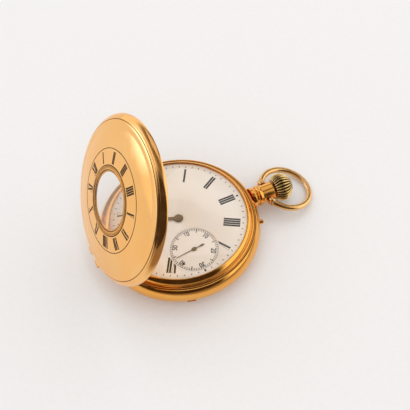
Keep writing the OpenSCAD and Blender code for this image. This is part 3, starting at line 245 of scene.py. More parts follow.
def frosted(name, colour, deep):
    """Gilt plate with the fine matt frosting of old movements"""
    finish = Finish.material(name)
    speck = finish.noise(14000, 3)
    cloud = finish.noise(160, 3).between(0.4, 0.7)
    return finish.surface({
        "Base Color": finish.mix(cloud, colour, deep),
        "Metallic": 1.0,
        "Roughness": speck * 0.12 + 0.3,
        "Normal": finish.bump(speck, 0.000012, 0.6),
    })


def enamel(name, colour, warm, roughness, ripple):
    """Fired enamel: a glassy skin with a faint ripple and specks"""
    finish = Finish.material(name)
    wave = finish.noise(520, 2)
    speck = finish.noise(5200, 1).between(0.77, 0.82)
    tint = finish.mix(finish.noise(70, 2).between(0.4, 0.7), colour, warm)
    return finish.surface({
        "Base Color": finish.mix(speck * 0.25, tint, shade(colour, 0.55)),
        "Roughness": wave * 0.06 + roughness,
        "Coat Weight": 0.6,
        "Coat Roughness": 0.06,
        "Normal": finish.bump(wave, ripple),
    })


def flat_ink(name, colour):
    """Dark enamel, and dark brown tarnish with painted shade, that hardly mirrors"""
    finish = Finish.material(name)
    wear = finish.noise(1600, 2).between(0.4, 0.75)
    return finish.surface({
        "Base Color": finish.mix(wear, colour, shade(colour, 1.5)),
        "Roughness": wear * 0.1 + 0.5,
        "Specular IOR Level": 0.12,
        "Normal": finish.bump(wear, 0.000003),
    })


def ribbed_gold(name, colour, dark, place, ribs):
    """Worn gold whose grooves round an axis are painted dark: painted shade between the ribs"""
    finish = Finish.material(name)
    spot = finish.add("ShaderNodeTexCoord", output="Object")
    centre = place.to_translation() * MM
    from_axis = finish.add("ShaderNodeVectorMath", {"operation": "SUBTRACT"}, {0: spot, 1: centre})
    across = [finish.dot(from_axis, place.col[i].to_3d()) for i in (0, 1)]
    angle = across[1].maths("ARCTAN2", across[0])
    # groove: mask of the painted shade between the ribs; it also roughens them
    groove = (angle * ribs).maths("COSINE").between(0.45, -0.4)
    rubbed = finish.noise(900, 3).between(0.35, 0.7)
    tint = finish.mix(rubbed * 0.5, colour, shade(colour, 0.6))
    return finish.surface({
        "Base Color": finish.mix(groove, tint, dark),
        "Metallic": 1.0,
        "Roughness": groove * 0.2 + rubbed * 0.1 + 0.16,
        "Normal": finish.bump(rubbed, 0.000006),
    })


def clear_glass(name):
    """Thin polished glass: see-through, with reflections that grow towards its edge"""
    finish = Finish.material(name)
    haze = finish.noise(600, 2).between(0.55, 0.8)
    mirror = finish.add("ShaderNodeBsdfPrincipled", inputs={
        "Base Color": (0.97, 0.985, 1), "Metallic": 1.0, "Roughness": haze * 0.02 + 0.012})
    through = finish.add("ShaderNodeBsdfTransparent", inputs={"Color": (0.985, 0.99, 0.985)})
    tilt = finish.add("ShaderNodeLayerWeight", inputs={"Blend": 0.5}, output=1)
    shine = tilt.maths("POWER", 5.0) * 0.9 + 0.045
    both = finish.add("ShaderNodeMixShader", inputs={0: shine, 1: through, 2: mirror})
    return finish.show(both)


def jewel_red(name, colour):
    finish = Finish.material(name)
    depth = finish.noise(900, 2).between(0.35, 0.7)
    return finish.surface({
        "Base Color": finish.mix(depth, colour, shade(colour, 0.45)),
        "Roughness": depth * 0.05 + 0.06,
        "Coat Weight": 1.0,
    })


def heat_blued(name, colour):
    """Blued steel, turning violet where the heat ran further"""
    finish = Finish.material(name)
    run = finish.noise(240, 2).between(0.4, 0.65)
    return finish.surface({
        "Base Color": finish.mix(run, colour, (0.1, 0.05, 0.24)),
        "Metallic": 1.0,
        "Roughness": finish.noise(800, 3) * 0.1 + 0.14,
        "Normal": finish.bump(finish.noise(1500, 2, (1, 12, 1)), 0.000003),
    })


def floor_paper(name, colour):
    """Pale seamless paper whose own colour reaches the camera, with the shadows kept; in reflections its
    part in front of the watch is painted dark, a painted reflection of a dark room
    """
    finish = Finish.material(name)
    grain = finish.noise(700, 3)
    tint = finish.mix(grain.between(0.35, 0.7), colour, shade(colour, 0.985))
    spot = finish.add("ShaderNodeTexCoord", output="Object")
    # Painted reflection: in glossy rays the paper turns dark brown towards its front, standing in for a dark
    # room
    painted_reflection_front = finish.dot(spot, (0.15, -0.99, 0))
    mirrored = finish.add("ShaderNodeLightPath", output="Is Glossy Ray")
    tint = finish.mix(painted_reflection_front.between(0.028, 0.065) * mirrored, tint, (0.3, 0.22, 0.16))
    return finish.surface({
        "Base Color": tint,
        "Roughness": grain * 0.1 + 0.6,
        "Specular IOR Level": 0.2,
        "Normal": finish.bump(grain, 0.00002, 0.3),
    })


finishes = {}


def make_finishes():
    c = bpy.context.scene.watch_colours
    ribs = bpy.context.scene.watch_sizes.crown_ribs
    brown = [ink + patina * 0.3 for ink, patina in zip(c.ink, c.patina)]
    finishes.update({
        "case gold": metal("case_gold", c.gold, shade(c.gold, 1, 0.93, 0.8), 0.1),
        "cover gold": metal("cover_gold", c.satin, shade(c.satin, 1, 0.95, 0.85), 0.11, 0.12),
        "inner gold": metal("inner_gold", c.gold, shade(c.gold, 1, 0.95, 0.9), 0.08),
        "rubbed gold": metal("bow_gold", shade(c.gold, 1.05, 1.3, 2.6), shade(c.gold, 0.9, 1.05, 1.7),
                             0.2, 0.4),
        "worn gold": metal("worn_gold", c.worn, shade(c.worn, 0.5), 0.2, 0.6, 0.3),
        "hand gold": metal("hand_gold", c.hands, shade(c.hands, 0.7), 0.24, 0.2),
        "dial enamel": enamel("dial_enamel", c.enamel, shade(c.enamel, 1, 0.985, 0.96), 0.12, 0.000006),
        "ink": flat_ink("numeral_enamel", c.ink),
        "brown ink": flat_ink("cover_numeral_enamel", brown),
        # The groove finish: painted shade, with tarnish in the turned line
        "patina": flat_ink("groove_tarnish_and_shade", c.patina),
        # The crown's grooves get the dark brown colour as painted shade
        "ribbed gold": ribbed_gold("crown_gold", c.worn, c.patina, crown_place(), ribs),
        "glass": clear_glass("crystal_glass"),
        "gilding": frosted("gilt_frosting", c.gilding, shade(c.gilding, 0.9)),
        "brass": metal("wheel_brass", c.brass, shade(c.brass, 0.88), 0.16, 0.5),
        "steel": metal("polished_steel", c.steel, shade(c.steel, 0.85), 0.14, 0.5),
        "blued steel": heat_blued("blued_steel", c.blue),
        "ruby": jewel_red("ruby", c.ruby),
    })


# Outlines
def turns(count):
    return [2 * math.pi * i / count for i in range(count)]


def steps_to_one(count):
    return [i / count for i in range(count + 1)]


def softened(points, radius, steps=3):
    """A closed outline with every corner rounded; a third number on a point is its own radius"""
    rounded = []
    count = len(points)
    for i, point in enumerate(points):
        here = Vector(point[:2])
        back = Vector(points[i - 1][:2]) - here
        on = Vector(points[(i + 1) % count][:2]) - here
        size = point[2] if len(point) > 2 else radius
        flat = size <= 0 or back.length < CLOSE or on.length < CLOSE
        bend = 0 if flat else math.pi - back.angle(on)
        if bend < LEAST_BEND:
            rounded.append(here)
            continue
        reach = min(size * math.tan(bend / 2), back.length * 0.45, on.length * 0.45)
        start, end = here + back.normalized() * reach, here + on.normalized() * reach
        for k in range(steps + 1):
            t = k / steps
            rounded.append(start * (1 - t) ** 2 + here * 2 * t * (1 - t) + end * t * t)
    return rounded


def arc(centre, rx, rz, start, end, steps):
    """Points of an elliptic arc, angles in degrees, that keep their place when an outline is softened"""
    angles = [math.radians(start + (end - start) * i / steps) for i in range(steps + 1)]
    return [(centre[0] + rx * math.cos(a), centre[1] + rz * math.sin(a), 0) for a in angles]


def new_piece(name, bm, body, finish, replaced=(), sharp=34):
    """A mesh from millimetres, smooth except at sharp edges, riding on its body"""
    bmesh.ops.remove_doubles(bm, verts=bm.verts, dist=1e-5)
    bmesh.ops.scale(bm, vec=(MM, MM, MM), verts=bm.verts)
    bmesh.ops.recalc_face_normals(bm, faces=bm.faces)
    limit = math.radians(sharp)
    for face in bm.faces:
        face.smooth = True
    for edge in bm.edges:
        if len(edge.link_faces) == 2 and edge.calc_face_angle(0) > limit:
            edge.smooth = False
    mesh = bpy.data.meshes.new(name)
    bm.to_mesh(mesh)
    bm.free()
    piece = bpy.data.objects.new(name, mesh)
    bpy.context.scene.collection.objects.link(piece)
    mesh.materials.append(finishes[finish])
    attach(piece, body)
    if replaced:
        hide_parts(*replaced)


def lathe(bm, outline, place=Matrix(), segments=ROUND, radius_at=None):
    """Turns a closed outline of (radius, height) round the Z axis of place"""
    rings = []
    for point in outline:
        r, z = point[:2]
        if abs(r) < CLOSE:
            rings.append([bm.verts.new(place @ Vector((0, 0, z)))])
            continue
        ring = []
        for a in turns(segments):
            radius = radius_at(r, z, a) if radius_at else r
            ring.append(bm.verts.new(place @ Vector((radius * math.cos(a), radius * math.sin(a), z))))
        rings.append(ring)
    for i, ring in enumerate(rings):
        nearby = rings[(i + 1) % len(rings)]
        for k in range(segments):
            j = (k + 1) % segments
            corners = [ring[k % len(ring)], ring[j % len(ring)],
                       nearby[j % len(nearby)], nearby[k % len(nearby)]]
            corners = [v for n, v in enumerate(corners) if v not in corners[:n]]
            if len(corners) > 2:
                bm.faces.new(corners)


def block(bm, low, high, place=Matrix(), edge=0.06):
    """A rectangular block with softened edges"""
    made = bmesh.ops.create_cube(bm, size=1)["verts"]
    size = [b - a for a, b in zip(low, high)]
    centre = [(a + b) / 2 for a, b in zip(low, high)]
    for vert in made:
        vert.co = Vector([vert.co[i] * size[i] + centre[i] for i in range(3)])
    edges = list({e for v in made for e in v.link_edges})
    offset = min(edge, min(size) * 0.3)
    rounded = bmesh.ops.bevel(bm, geom=edges, offset=offset, segments=2, affect="EDGES")
    body = {v for v in made if v.is_valid} | {v for f in rounded["faces"] for v in f.verts}
    for vert in body:
        vert.co = place @ vert.co


def tube_outline(inner, outer, low, high, edge):
    return softened([(inner, low), (outer, low), (outer, high), (inner, high)], edge)


def along(direction, start):
    """Matrix that puts the Z axis along a direction from a start point, in millimetres"""
    turn = Vector(direction).to_track_quat("Z", "Y").to_matrix().to_4x4()
    return Matrix.Translation(start) @ turn


# Hinges
def knuckle_row(bm, place, length, parts, which, radius, bore):
    """Barrels of a hinge along the Y axis of place"""
    step = length / parts
    for i in which:
        start = -length / 2 + i * step + KNUCKLE_GAP / 2
        barrel = tube_outline(bore, radius, 0, step - KNUCKLE_GAP, 0.07)
        lathe(bm, barrel, place @ along((0, 1, 0), (0, start, 0)), 48)


def hinge_frame(spot, turn):
    return Matrix.Translation(spot) @ Matrix.Rotation(turn, 4, "Z")


# The front cover is drawn shut, with its rim's plane at Z 0
COVER = {"rise": 4.36, "step_r": 20.6, "step": 2.48, "power": 3, "r": 23.65, "belly": 0.12, "wall": 0.4,
         "hole": 8.56, "shut": 8.45, "window": 8.16, "lines": ((22.05, 0.13), (22.75, 0.04))}


def cover_height(r, inset=0.0):
    """Height of the cover's outside, or of its inside at a wall's inset"""
    step_r, step, belly = COVER["step_r"], COVER["step"], COVER["belly"]
    if r <= step_r:
        return step - inset + (COVER["rise"] - step) * (1 - (r / step_r) ** COVER["power"])
    across = min(1.0, (r - step_r) / (COVER["r"] - inset - step_r))
    return belly + (step - belly - inset) * math.sqrt(1 - across * across)


def open_cover():
    """Matrix from the shut cover's own frame to where it stands open"""
    hinge = Matrix.Translation(FRONT_HINGE)
    swing = hinge @ Matrix.Rotation(-math.radians(OPEN_ANGLE), 4, "Y") @ hinge.inverted()
    return swing @ Matrix.Translation((0, 0, COVER["shut"]))


def cover_outline():
    """Section of the cover's wall: a domed face, two fine turned lines and a rounded side"""
    line = bpy.context.scene.watch_sizes.line / MM / 2
    hole, step_r, belly = COVER["hole"], COVER["step_r"], COVER["belly"]
    side_r = COVER["r"] - step_r
    across = [hole + (step_r - hole) * i / 28 for i in range(28)]
    round_side = [step_r + side_r * math.sin(math.radians(a)) for a in range(0, 90, 2)]
    turned = [r + d * line for r, _ in COVER["lines"] for d in (-1.4, -0.7, 0, 0.7, 1.4)]
    radii = sorted(across + round_side + turned)

    def depth(r):
        return sum(deep * max(0.0, 1 - abs(r - at) / line / 1.4) for at, deep in COVER["lines"])
    outer = [(r, cover_height(r) - depth(r), 0) for r in radii]
    edge, wall = COVER["r"], COVER["wall"]
    rim = [(edge, belly, 0.03), (edge - 0.05, 0, 0.03), (edge - wall - 0.05, 0, 0.03)]
    inner_side = [step_r + (edge - wall - step_r) * math.sin(math.radians(a)) for a in range(84, -1, -6)]
    under = [(r, cover_height(r, wall), 0) for r in inner_side + across[::-1]]
    return softened(outer + rim + under, 0.05)


def build_front_cover():
    bm = bmesh.new()
    place = open_cover()
    lathe(bm, cover_outline(), place, FINE_ROUND)
    depth = FRONT_HINGE[2] - COVER["shut"]
    hinge = place @ Matrix.Translation((FRONT_HINGE[0], 0, depth))
    knuckle_row(bm, hinge, FRONT_HINGE_LEN, 5, (1, 3), KNUCKLE_R, PIN_R + HINGE_PLAY)
    step = FRONT_HINGE_LEN / 5
    for i in (1, 3):
        near = -FRONT_HINGE_LEN / 2 + i * step + KNUCKLE_GAP / 2
        far = near + step - KNUCKLE_GAP
        block(bm, (-KNUCKLE_R, near, 0.32), (-0.28, far, 0.7 - depth), hinge, 0.12)
        block(bm, (-KNUCKLE_R, near, 0.06 - depth), (1.5, far, 0.68 - depth), hinge, 0.12)
    new_piece("front_cover_shell", bm, "front_cover", "cover gold", ["front_cover"])


def build_cover_window():
    place = open_cover()
    sizes = bpy.context.scene.watch_sizes
    window, top = COVER["window"], cover_height(COVER["hole"])
    low = top - COVER["wall"]
    bm = bmesh.new()
    lathe(bm, softened([
        (window - 0.3, low), (COVER["hole"], low), (COVER["hole"], top - 0.02),
        (window + 1.36, cover_height(window + 1.36) - 0.01), (window + 1.33, top + 0.03),
        (window + 1.18, top + 0.05), (window + 1.14, top - 0.05), (window + 0.94, top - 0.05),
        (window + 0.9, top + 0.05), (window + 0.79, top + 0.06), (window + 0.73, top - 0.04),
        (window + 0.64, top - 0.2), (window + 0.08, top - 0.2), (window + 0.05, top - 0.08),
        (window, top - 0.1), (window, low + 0.12), (window - 0.3, low + 0.12)],
        0.025), place, FINE_ROUND)
    for a in turns(sizes.beads):
        spot = Matrix.Rotation(a, 4, "Z") @ Matrix.Translation((window + 0.36, 0, top - 0.14))
        bmesh.ops.create_icosphere(bm, subdivisions=2, radius=0.21, matrix=place @ spot)
    new_piece("cover_window_rim", bm, "front_cover", "case gold", ["cover_window_ring"])
    bm = bmesh.new()

    def on_rim(x, y, height):
        return place @ Vector((x, y, top + height))
    # Dark rings in the rim's grooves and in the row under its beads: painted shade
    for out, width, low_at, high_at in ((0.36, 0.54, -0.21, -0.13), (1.04, 0.2, -0.07, -0.03),
                                        (1.41, 0.14, -0.08, 0.0), (0.7, 0.1, -0.1, 0.02)):
        ring_strip(bm, window + out, width, on_rim, low_at, high_at)
    new_piece("window_rim_painted_shade", bm, "front_cover", "patina")
    bm = bmesh.new()
    seat = low + 0.12
    steps = steps_to_one(14)
    outline = [(window * t, seat) for t in steps]
    outline += [(window * t, seat + 0.15 + 0.25 * (1 - t * t)) for t in reversed(steps)]
    lathe(bm, outline, place, 96)
    new_piece("cover_window_glass", bm, "front_cover", "glass", ["cover_crystal"])


# Numerals
def slab(bm, corners, settle, low, high, across=2, down=6):
    """A thin plate over four corners, laid on a surface by settle(x, y, height)"""
    def spot(u, v, height):
        a, b, c, d = (Vector(p) for p in corners)
        flat = (a * (1 - u) + b * u) * (1 - v) + (d * (1 - u) + c * u) * v
        return bm.verts.new(settle(flat.x, flat.y, height))
    layers = [[[spot(i / across, j / down, h) for i in range(across + 1)] for j in range(down + 1)]
              for h in (low, high)]
    for layer in layers:
        for j in range(down):
            for i in range(across):
                bm.faces.new((layer[j][i], layer[j][i + 1], layer[j + 1][i + 1], layer[j + 1][i]))
    rim = [(j, 0) for j in range(down)] + [(down, i) for i in range(across)]
    rim += [(j, across) for j in range(down, 0, -1)] + [(0, i) for i in range(across, 0, -1)]
    for (j, i), (n, m) in zip(rim, rim[1:] + rim[:1]):
        bm.faces.new((layers[0][j][i], layers[0][n][m], layers[1][n][m], layers[1][j][i]))


def bar(x, width, height, lean=0.0):
    """Corners of one stroke, foot towards the centre, its head leaning over by lean and its foot back"""
    half, end = width / 2, height / 2
    return [(x - half - lean, -end), (x + half - lean, -end), (x + half + lean, end), (x - half + lean, end)]


ROMAN = ["I", "II", "III", "IIII", "V", "VI", "VII", "VIII", "IX", "X", "XI", "XII"]
ROMAN_WIDTH = {"I": 1.27, "V": 2.2, "X": 2.7}


def roman_strokes(letters, height, thick, thin):
    """Strokes of a Roman numeral with thick and thin limbs, drawn upright on its foot"""
    total = sum(ROMAN_WIDTH[c] for c in letters) * thick
    strokes = []
    x = -total / 2
    for c in letters:
        width = ROMAN_WIDTH[c] * thick
        middle = x + width / 2
        if c == "I":
            strokes.append(bar(middle, thick, height))
        elif c == "V":
            strokes.append(bar(middle - 0.35 * thick, thick, height, -0.3 * thick))
            strokes.append(bar(middle + 0.5 * thick, thin, height, 0.4 * thick))
        else:
            strokes.append(bar(middle, thick, height, -1.1 * thick))
            strokes.append(bar(middle, thin, height, 1.1 * thick))
        x += width
    reach = total / 2 - 0.05 * thick
    for level in (-height / 2, height / 2 - thin):
        strokes.append([(-reach, level), (reach, level), (reach, level + thin), (-reach, level + thin)])
    return strokes


def ring_strip(bm, radius, width, settle, low, high, segments=240):
    """A thin flat ring laid by settle(x, y, height) round the origin"""
    loops = [[bm.verts.new(settle(r * math.cos(a), r * math.sin(a), h)) for a in turns(segments)]
             for r, h in ((radius - width / 2, low), (radius + width / 2, low),
                          (radius + width / 2, high), (radius - width / 2, high))]
    for a, b in zip(loops, loops[1:] + loops[:1]):
        for i in range(segments):
            j = (i + 1) % segments
            bm.faces.new((a[i], a[j], b[j], b[i]))


def turned_about(angle, radius):
    """Maps a numeral's own x and y to the dial, at a clock angle in degrees and a radius"""
    a = math.radians(90 - angle)

    def place(x, y):
        r = radius + y
        return r * math.cos(a) + x * math.sin(a), r * math.sin(a) - x * math.cos(a)
    return place


def build_cover_numerals():
    sizes = bpy.context.scene.watch_sizes
    place = open_cover()
    high = sizes.enamel / MM
    middle_r, tall, thick, thin = 11.85, 3.3, 0.48, 0.1
    rings = ((14.25, 1.3), (9.72, 1.1))

    def on_cover(x, y, height):
        return place @ Vector((x, y, cover_height(math.hypot(x, y)) + height))
    bm = bmesh.new()
    for n, letters in enumerate(ROMAN, 1):
        at = turned_about(n * 30, middle_r)
        for corners in roman_strokes(letters, tall, thick, thin):
            slab(bm, [at(*p) for p in corners], on_cover, -0.03, high)
    for radius, width in rings:
        ring_strip(bm, radius, width * sizes.line / MM, on_cover, -0.03, high)
    new_piece("cover_numeral_enamel", bm, "front_cover", "brown ink", ["cover_numerals"])
    bm = bmesh.new()
    # A dark ring down in the first turned line: its tarnish and painted shade
    radius, depth = COVER["lines"][0]
    ring_strip(bm, radius, sizes.line / MM * 1.05, on_cover, -depth, -depth * 0.28)
    new_piece("cover_line_tarnish_and_shade", bm, "front_cover", "patina")


# Case
def build_bezel():
    low, high = solid_span("bezel")
    base, top, outer = low[2], high[2], high[0]
    opening, collar, groove_r = 20.87, 21.45, 21.15
    groove_low, groove_high, seat = 9.35, 9.85, 10.0
    round_slope = arc((opening + 0.13, base + 0.35), outer - opening - 0.63, top - base - 0.35, 90, 0, 20)
    start, end = round_slope[0], round_slope[-1]
    roundness, straightness = 0.45, 0.55
    slope = []
    for t, (r, z, _) in zip(steps_to_one(20), round_slope):
        slope.append((roundness * r + straightness * (start[0] + (end[0] - start[0]) * t),
                      roundness * z + straightness * (start[1] + (end[1] - start[1]) * t), 0))
    bm = bmesh.new()
    lathe(bm, softened([
        (collar + 0.03, base), (collar + 0.03, groove_low, 0), (groove_r, groove_low, 0),
        (groove_r, groove_high, 0), (opening - 0.3, groove_high), (opening - 0.3, seat),
        (opening, seat, 0), (opening, top - 0.02, 0.03)]
        + slope + [(outer - 0.42, base + 0.38, 0.03), (outer - 0.16, base + 0.35, 0.08),
                   (outer, base + 0.2, 0.06), (outer, base, 0.03)], 0.04), segments=FINE_ROUND)
    new_piece("bezel_ring", bm, "case", "case gold", ["bezel"])
    bm = bmesh.new()
    block(bm, (outer - 0.3, -0.3, base + 0.02), (outer + 0.02, 0.3, base + 0.3),
          Matrix.Rotation(HINGE_TURN + math.radians(177), 4, "Z"), 0.05)
    new_piece("bezel_notch_shade", bm, "case", "patina")


def build_crystal():
    low, high = solid_span("crystal")
    edge = high[0]
    base, top = low[2], high[2]
    shoulder, power = base + 0.35, 4

    def dome(r, apex, rest, span):
        return rest + (apex - rest) * (1 - (r / span) ** power)
    steps = steps_to_one(28)
    outline = [(edge * t, dome(edge * t, top, shoulder, edge)) for t in steps]
    outline += [(edge, base)]
    inner = edge - 0.3
    outline += [(inner * t, dome(inner * t, top - 0.5, base, inner)) for t in reversed(steps)]
    bm = bmesh.new()
    lathe(bm, outline, segments=160)
    new_piece("crystal_glass_dome", bm, "case", "glass", ["crystal"])


def band_outline():
    """Section of the case middle: round above its belly, nearly straight below it"""
    back, ledge, outer = 3.4, 8.4, 24.8
    rest, belly, top, edge = ledge - 0.05, back + 1.25, outer - 1.25, outer - 0.5
    steps = steps_to_one(14)
    side = [(outer - (outer - top) * t ** 2.6, belly + (rest - belly) * t, 0) for t in reversed(steps)]
    side += [(outer - (outer - edge) * t * t, belly - (belly - back) * t, 0) for t in steps[1:-1]]
    return softened([
        (20.6, 6.4), (20.6, 8.0), (21.2, 8.0), (21.2, 9.3), (21.45, 9.3), (21.45, ledge),
        (22.8, ledge), (22.8, ledge - 0.3), (22.92, ledge - 0.3), (22.92, ledge + 0.25, 0.05),
        (23.1, ledge + 0.25, 0.05), (23.1, rest), (top - 0.12, rest, 0.04)] + side + [
        (edge, back + 0.05, 0.06), (edge - 0.1, back, 0.06), (20.6, back), (20.6, 4.1), (23.9, 4.1),
        (23.9, 6.4)], 0.06)


def build_case_band():
    bm = bmesh.new()
    lathe(bm, band_outline(), segments=FINE_ROUND)
    back = hinge_frame(BACK_HINGE, HINGE_TURN)
    inner = hinge_frame(CUVETTE_HINGE, HINGE_TURN)
    knuckle_row(bm, hinge_frame(FRONT_HINGE, 0), FRONT_HINGE_LEN, 5, (0, 2, 4), KNUCKLE_R, PIN_R)
    knuckle_row(bm, back, BACK_HINGE_LEN, 5, (0, 2, 4), KNUCKLE_R, PIN_R)
    knuckle_row(bm, inner, CUVETTE_HINGE_LEN, 3, (0, 2), CUVETTE_KNUCKLE_R, CUVETTE_PIN_R)
    new_piece("case_middle", bm, "case", "case gold", ["case_band"])
    bm = bmesh.new()

    def on_case(x, y, height):
        return Vector((x, y, height))
    # Dark rings in the groove and on the step where the front cover's rim sits: painted shade
    for radius, width, level in ((22.86, 0.12, 8.12), (23.22, 0.24, 8.36)):
        ring_strip(bm, radius, width, on_case, level - 0.03, level + 0.02)
    new_piece("cover_seat_painted_shade", bm, "case", "patina")


# The back cover is flat inside one radius and then curves up to its seat
BACK_FLAT, BACK_SEAT = 11, 3.35


def back_height(r, low, edge):
    return low + (BACK_SEAT - low) * (max(r - BACK_FLAT, 0) / (edge - BACK_FLAT)) ** 2.6


def build_back_cover():
    def curve(low, rim):
        radii = [BACK_FLAT + (rim - BACK_FLAT) * i / 24 for i in range(24)]
        return [(r, back_height(r, low, rim)) for r in radii]
    bm = bmesh.new()
    edge, wall = 24.3, 0.4
    inner = edge - wall
    outline = [(0, 0), (6, 0), (10.6, 0)] + curve(0, edge)
    outline += [(edge - 0.02, 3.27), (edge - 0.1, BACK_SEAT), (inner + 0.08, BACK_SEAT), (inner, 3.3)]
    outline += curve(wall, inner)[::-1] + [(10.6, wall), (0, wall)]
    lathe(bm, outline, segments=FINE_ROUND)
    hinge = hinge_frame(BACK_HINGE, HINGE_TURN)
    knuckle_row(bm, hinge, BACK_HINGE_LEN, 5, (1, 3), KNUCKLE_R, PIN_R + HINGE_PLAY)
    lip = Matrix.Rotation(HINGE_TURN + math.pi, 4, "Z")
    block(bm, (edge - 0.3, -1.3, 3.0), (edge + 0.29, 1.3, 3.34), lip, 0.12)
    new_piece("back_cover_shell", bm, "back_cover", "case gold", ["back_cover"])


def build_cuvette():
    bm = bmesh.new()
    edge, low, wall = 21.4, 1.15, 0.35
    steps = steps_to_one(36)

    def rise(t):
        return low + (BACK_SEAT - low) * t ** 8
    outline = [(edge * t, rise(t)) for t in steps]
    outline += [((edge - wall) * t, min(rise(t) + wall, BACK_SEAT)) for t in reversed(steps)]
    lathe(bm, outline, segments=200)
    hinge = hinge_frame(CUVETTE_HINGE, HINGE_TURN)
    knuckle_row(bm, hinge, CUVETTE_HINGE_LEN, 3, (1,), CUVETTE_KNUCKLE_R, CUVETTE_PIN_R + HINGE_PLAY)
    block(bm, (-0.7, -0.95, -0.08), (-0.3, 0.95, 0.28), hinge, 0.08)
    new_piece("cuvette_dome", bm, "cuvette", "inner gold", ["cuvette"])


# Pendant, crown and bow
def build_pendant():
    low, high = solid_span("pendant")
    root, neck, bore = low[0], 2.85, 0.63
    length = high[0] - root
    bm = bmesh.new()
    outline = softened([
        (bore, 0.4), (neck + 0.45, 0.4), (neck + 0.45, 1.3, 0.15), (neck + 0.3, 1.55, 0.1),
        (neck - 0.25, 1.75, 0.12), (neck - 0.25, 2.2, 0.12), (neck + 0.2, 2.4, 0.1),
        (neck + 0.4, 2.7, 0.2), (neck + 0.4, 3.1, 0.2), (neck + 0.15, 3.5, 0.1), (neck, 3.9, 0.1),
        (neck, length - 0.3, 0.12), (neck - 0.3, length, 0.12), (bore, length)], 0.06)
    lathe(bm, outline, along((1, 0, 0), (root, 0, STEM_Z)), 128)
    new_piece("pendant_neck", bm, "case", "case gold", ["pendant"])


def crown_place():
    return along((1, 0, 0), (solid_span("crown")[0][0], 0, STEM_Z))


def build_crown():
    sizes = bpy.context.scene.watch_sizes
    low, high = solid_span("crown")
    root, radius, length = low[0], 4.4, 5.6
    groove, ribs = sizes.crown_groove / MM, sizes.crown_ribs

    def profile(t):
        return radius * math.sin(math.pi * (0.22 + 0.66 * t)) ** 0.7
    steps = steps_to_one(32)
    outline = [(0.6, 0), (profile(0) * 0.8, 0)] + [(profile(t), length * t) for t in steps]
    cap = high[0] - root
    outline += [(radius * 0.5, length + 0.02), (radius * 0.38, cap), (0, cap), (0, 3.1), (0.6, 3.0)]

    def ribbed(r, z, a):
        t = max(0.0, min(1.0, z / length))
        if r < radius * 0.55:
            return r
        wave = 0.5 + 0.5 * math.cos(a * ribs)
        fade = min(1.0, 6 * t + 0.4) * min(1.0, 9 * (1 - t) + 0.1)
        return r - groove * fade * (1 - wave ** 0.6)
    bm = bmesh.new()
    lathe(bm, outline, crown_place(), ribs * 12, ribbed)
    new_piece("crown_ribbed", bm, "crown", "ribbed gold", ["crown"], 50)


def build_bow():
    centre, radius, wire = 7.0, 8.0, 1.95
    droop = math.asin((STEM_Z - wire / 2 - 0.05) / (centre + radius))
    pivot = Matrix.Translation(BOW_PIVOT) @ Matrix.Rotation(droop, 4, "Y")
    bm = bmesh.new()
    gap = math.radians(25)
    rings = []
    sides = 28
    for t in steps_to_one(120):
        a = math.pi + gap + (2 * math.pi - 2 * gap) * t
        half = wire / 2 * (1 - 0.06 * math.cos(a - math.pi) ** 2)
        ring = []
        for b in turns(sides):
            reach = radius + half * math.cos(b)
            spot = Vector((centre + reach * math.cos(a), reach * math.sin(a), half * math.sin(b)))
            ring.append(bm.verts.new(pivot @ spot))
        rings.append(ring)
    for a, b in zip(rings, rings[1:]):
        for k in range(sides):
            bm.faces.new((a[k], a[(k + 1) % sides], b[(k + 1) % sides], b[k]))
    bm.faces.new(rings[0])
    bm.faces.new(rings[-1])
    bore, foot, tip = 0.58, 2.97, 4.47
    lug = softened([
        (bore, foot), (1.3, foot, 0.1), (1.34, 3.9, 0.2), (1.15, tip, 0.16), (bore, tip)], 0.06)
    for side in (-1, 1):
        lathe(bm, lug, pivot @ along((0, side, 0), (0, 0, 0)), 64)
    new_piece("bow_ring", bm, "bow", "rubbed gold", ["bow"], 40)


# Dial
def on_dial(x, y, height):
    return Vector((x, y, DIAL_Z + height))


def on_seconds(x, y, height):
    return Vector((SECONDS_AXIS[0] + x, SECONDS_AXIS[1] + y, SECONDS_Z + height))


def outside_seconds(corners, clear):
    """The part of a stroke that stays off the seconds dial, or None"""
    def room(p):
        return math.hypot(p[0] - SECONDS_AXIS[0], p[1] - SECONDS_AXIS[1]) - clear

    def trimmed(foot, head):
        foot, head = Vector(foot), Vector(head)
        if room(foot) >= 0 and room(head) >= 0:
            return foot, head
        if room(foot) < 0 and room(head) < 0:
            return None
        inside, outside = (foot, head) if room(foot) < 0 else (head, foot)
        for _ in range(24):
            middle = (inside + outside) / 2
            if room(middle) < 0:
                inside = middle
            else:
                outside = middle
        return (outside, head) if room(foot) < 0 else (foot, outside)
    left, right = trimmed(corners[0], corners[3]), trimmed(corners[1], corners[2])
    if left is None or right is None:
        return None
    return [left[0], right[0], right[1], left[1]]


def ink_height():
    return bpy.context.scene.watch_sizes.enamel / MM * 0.5


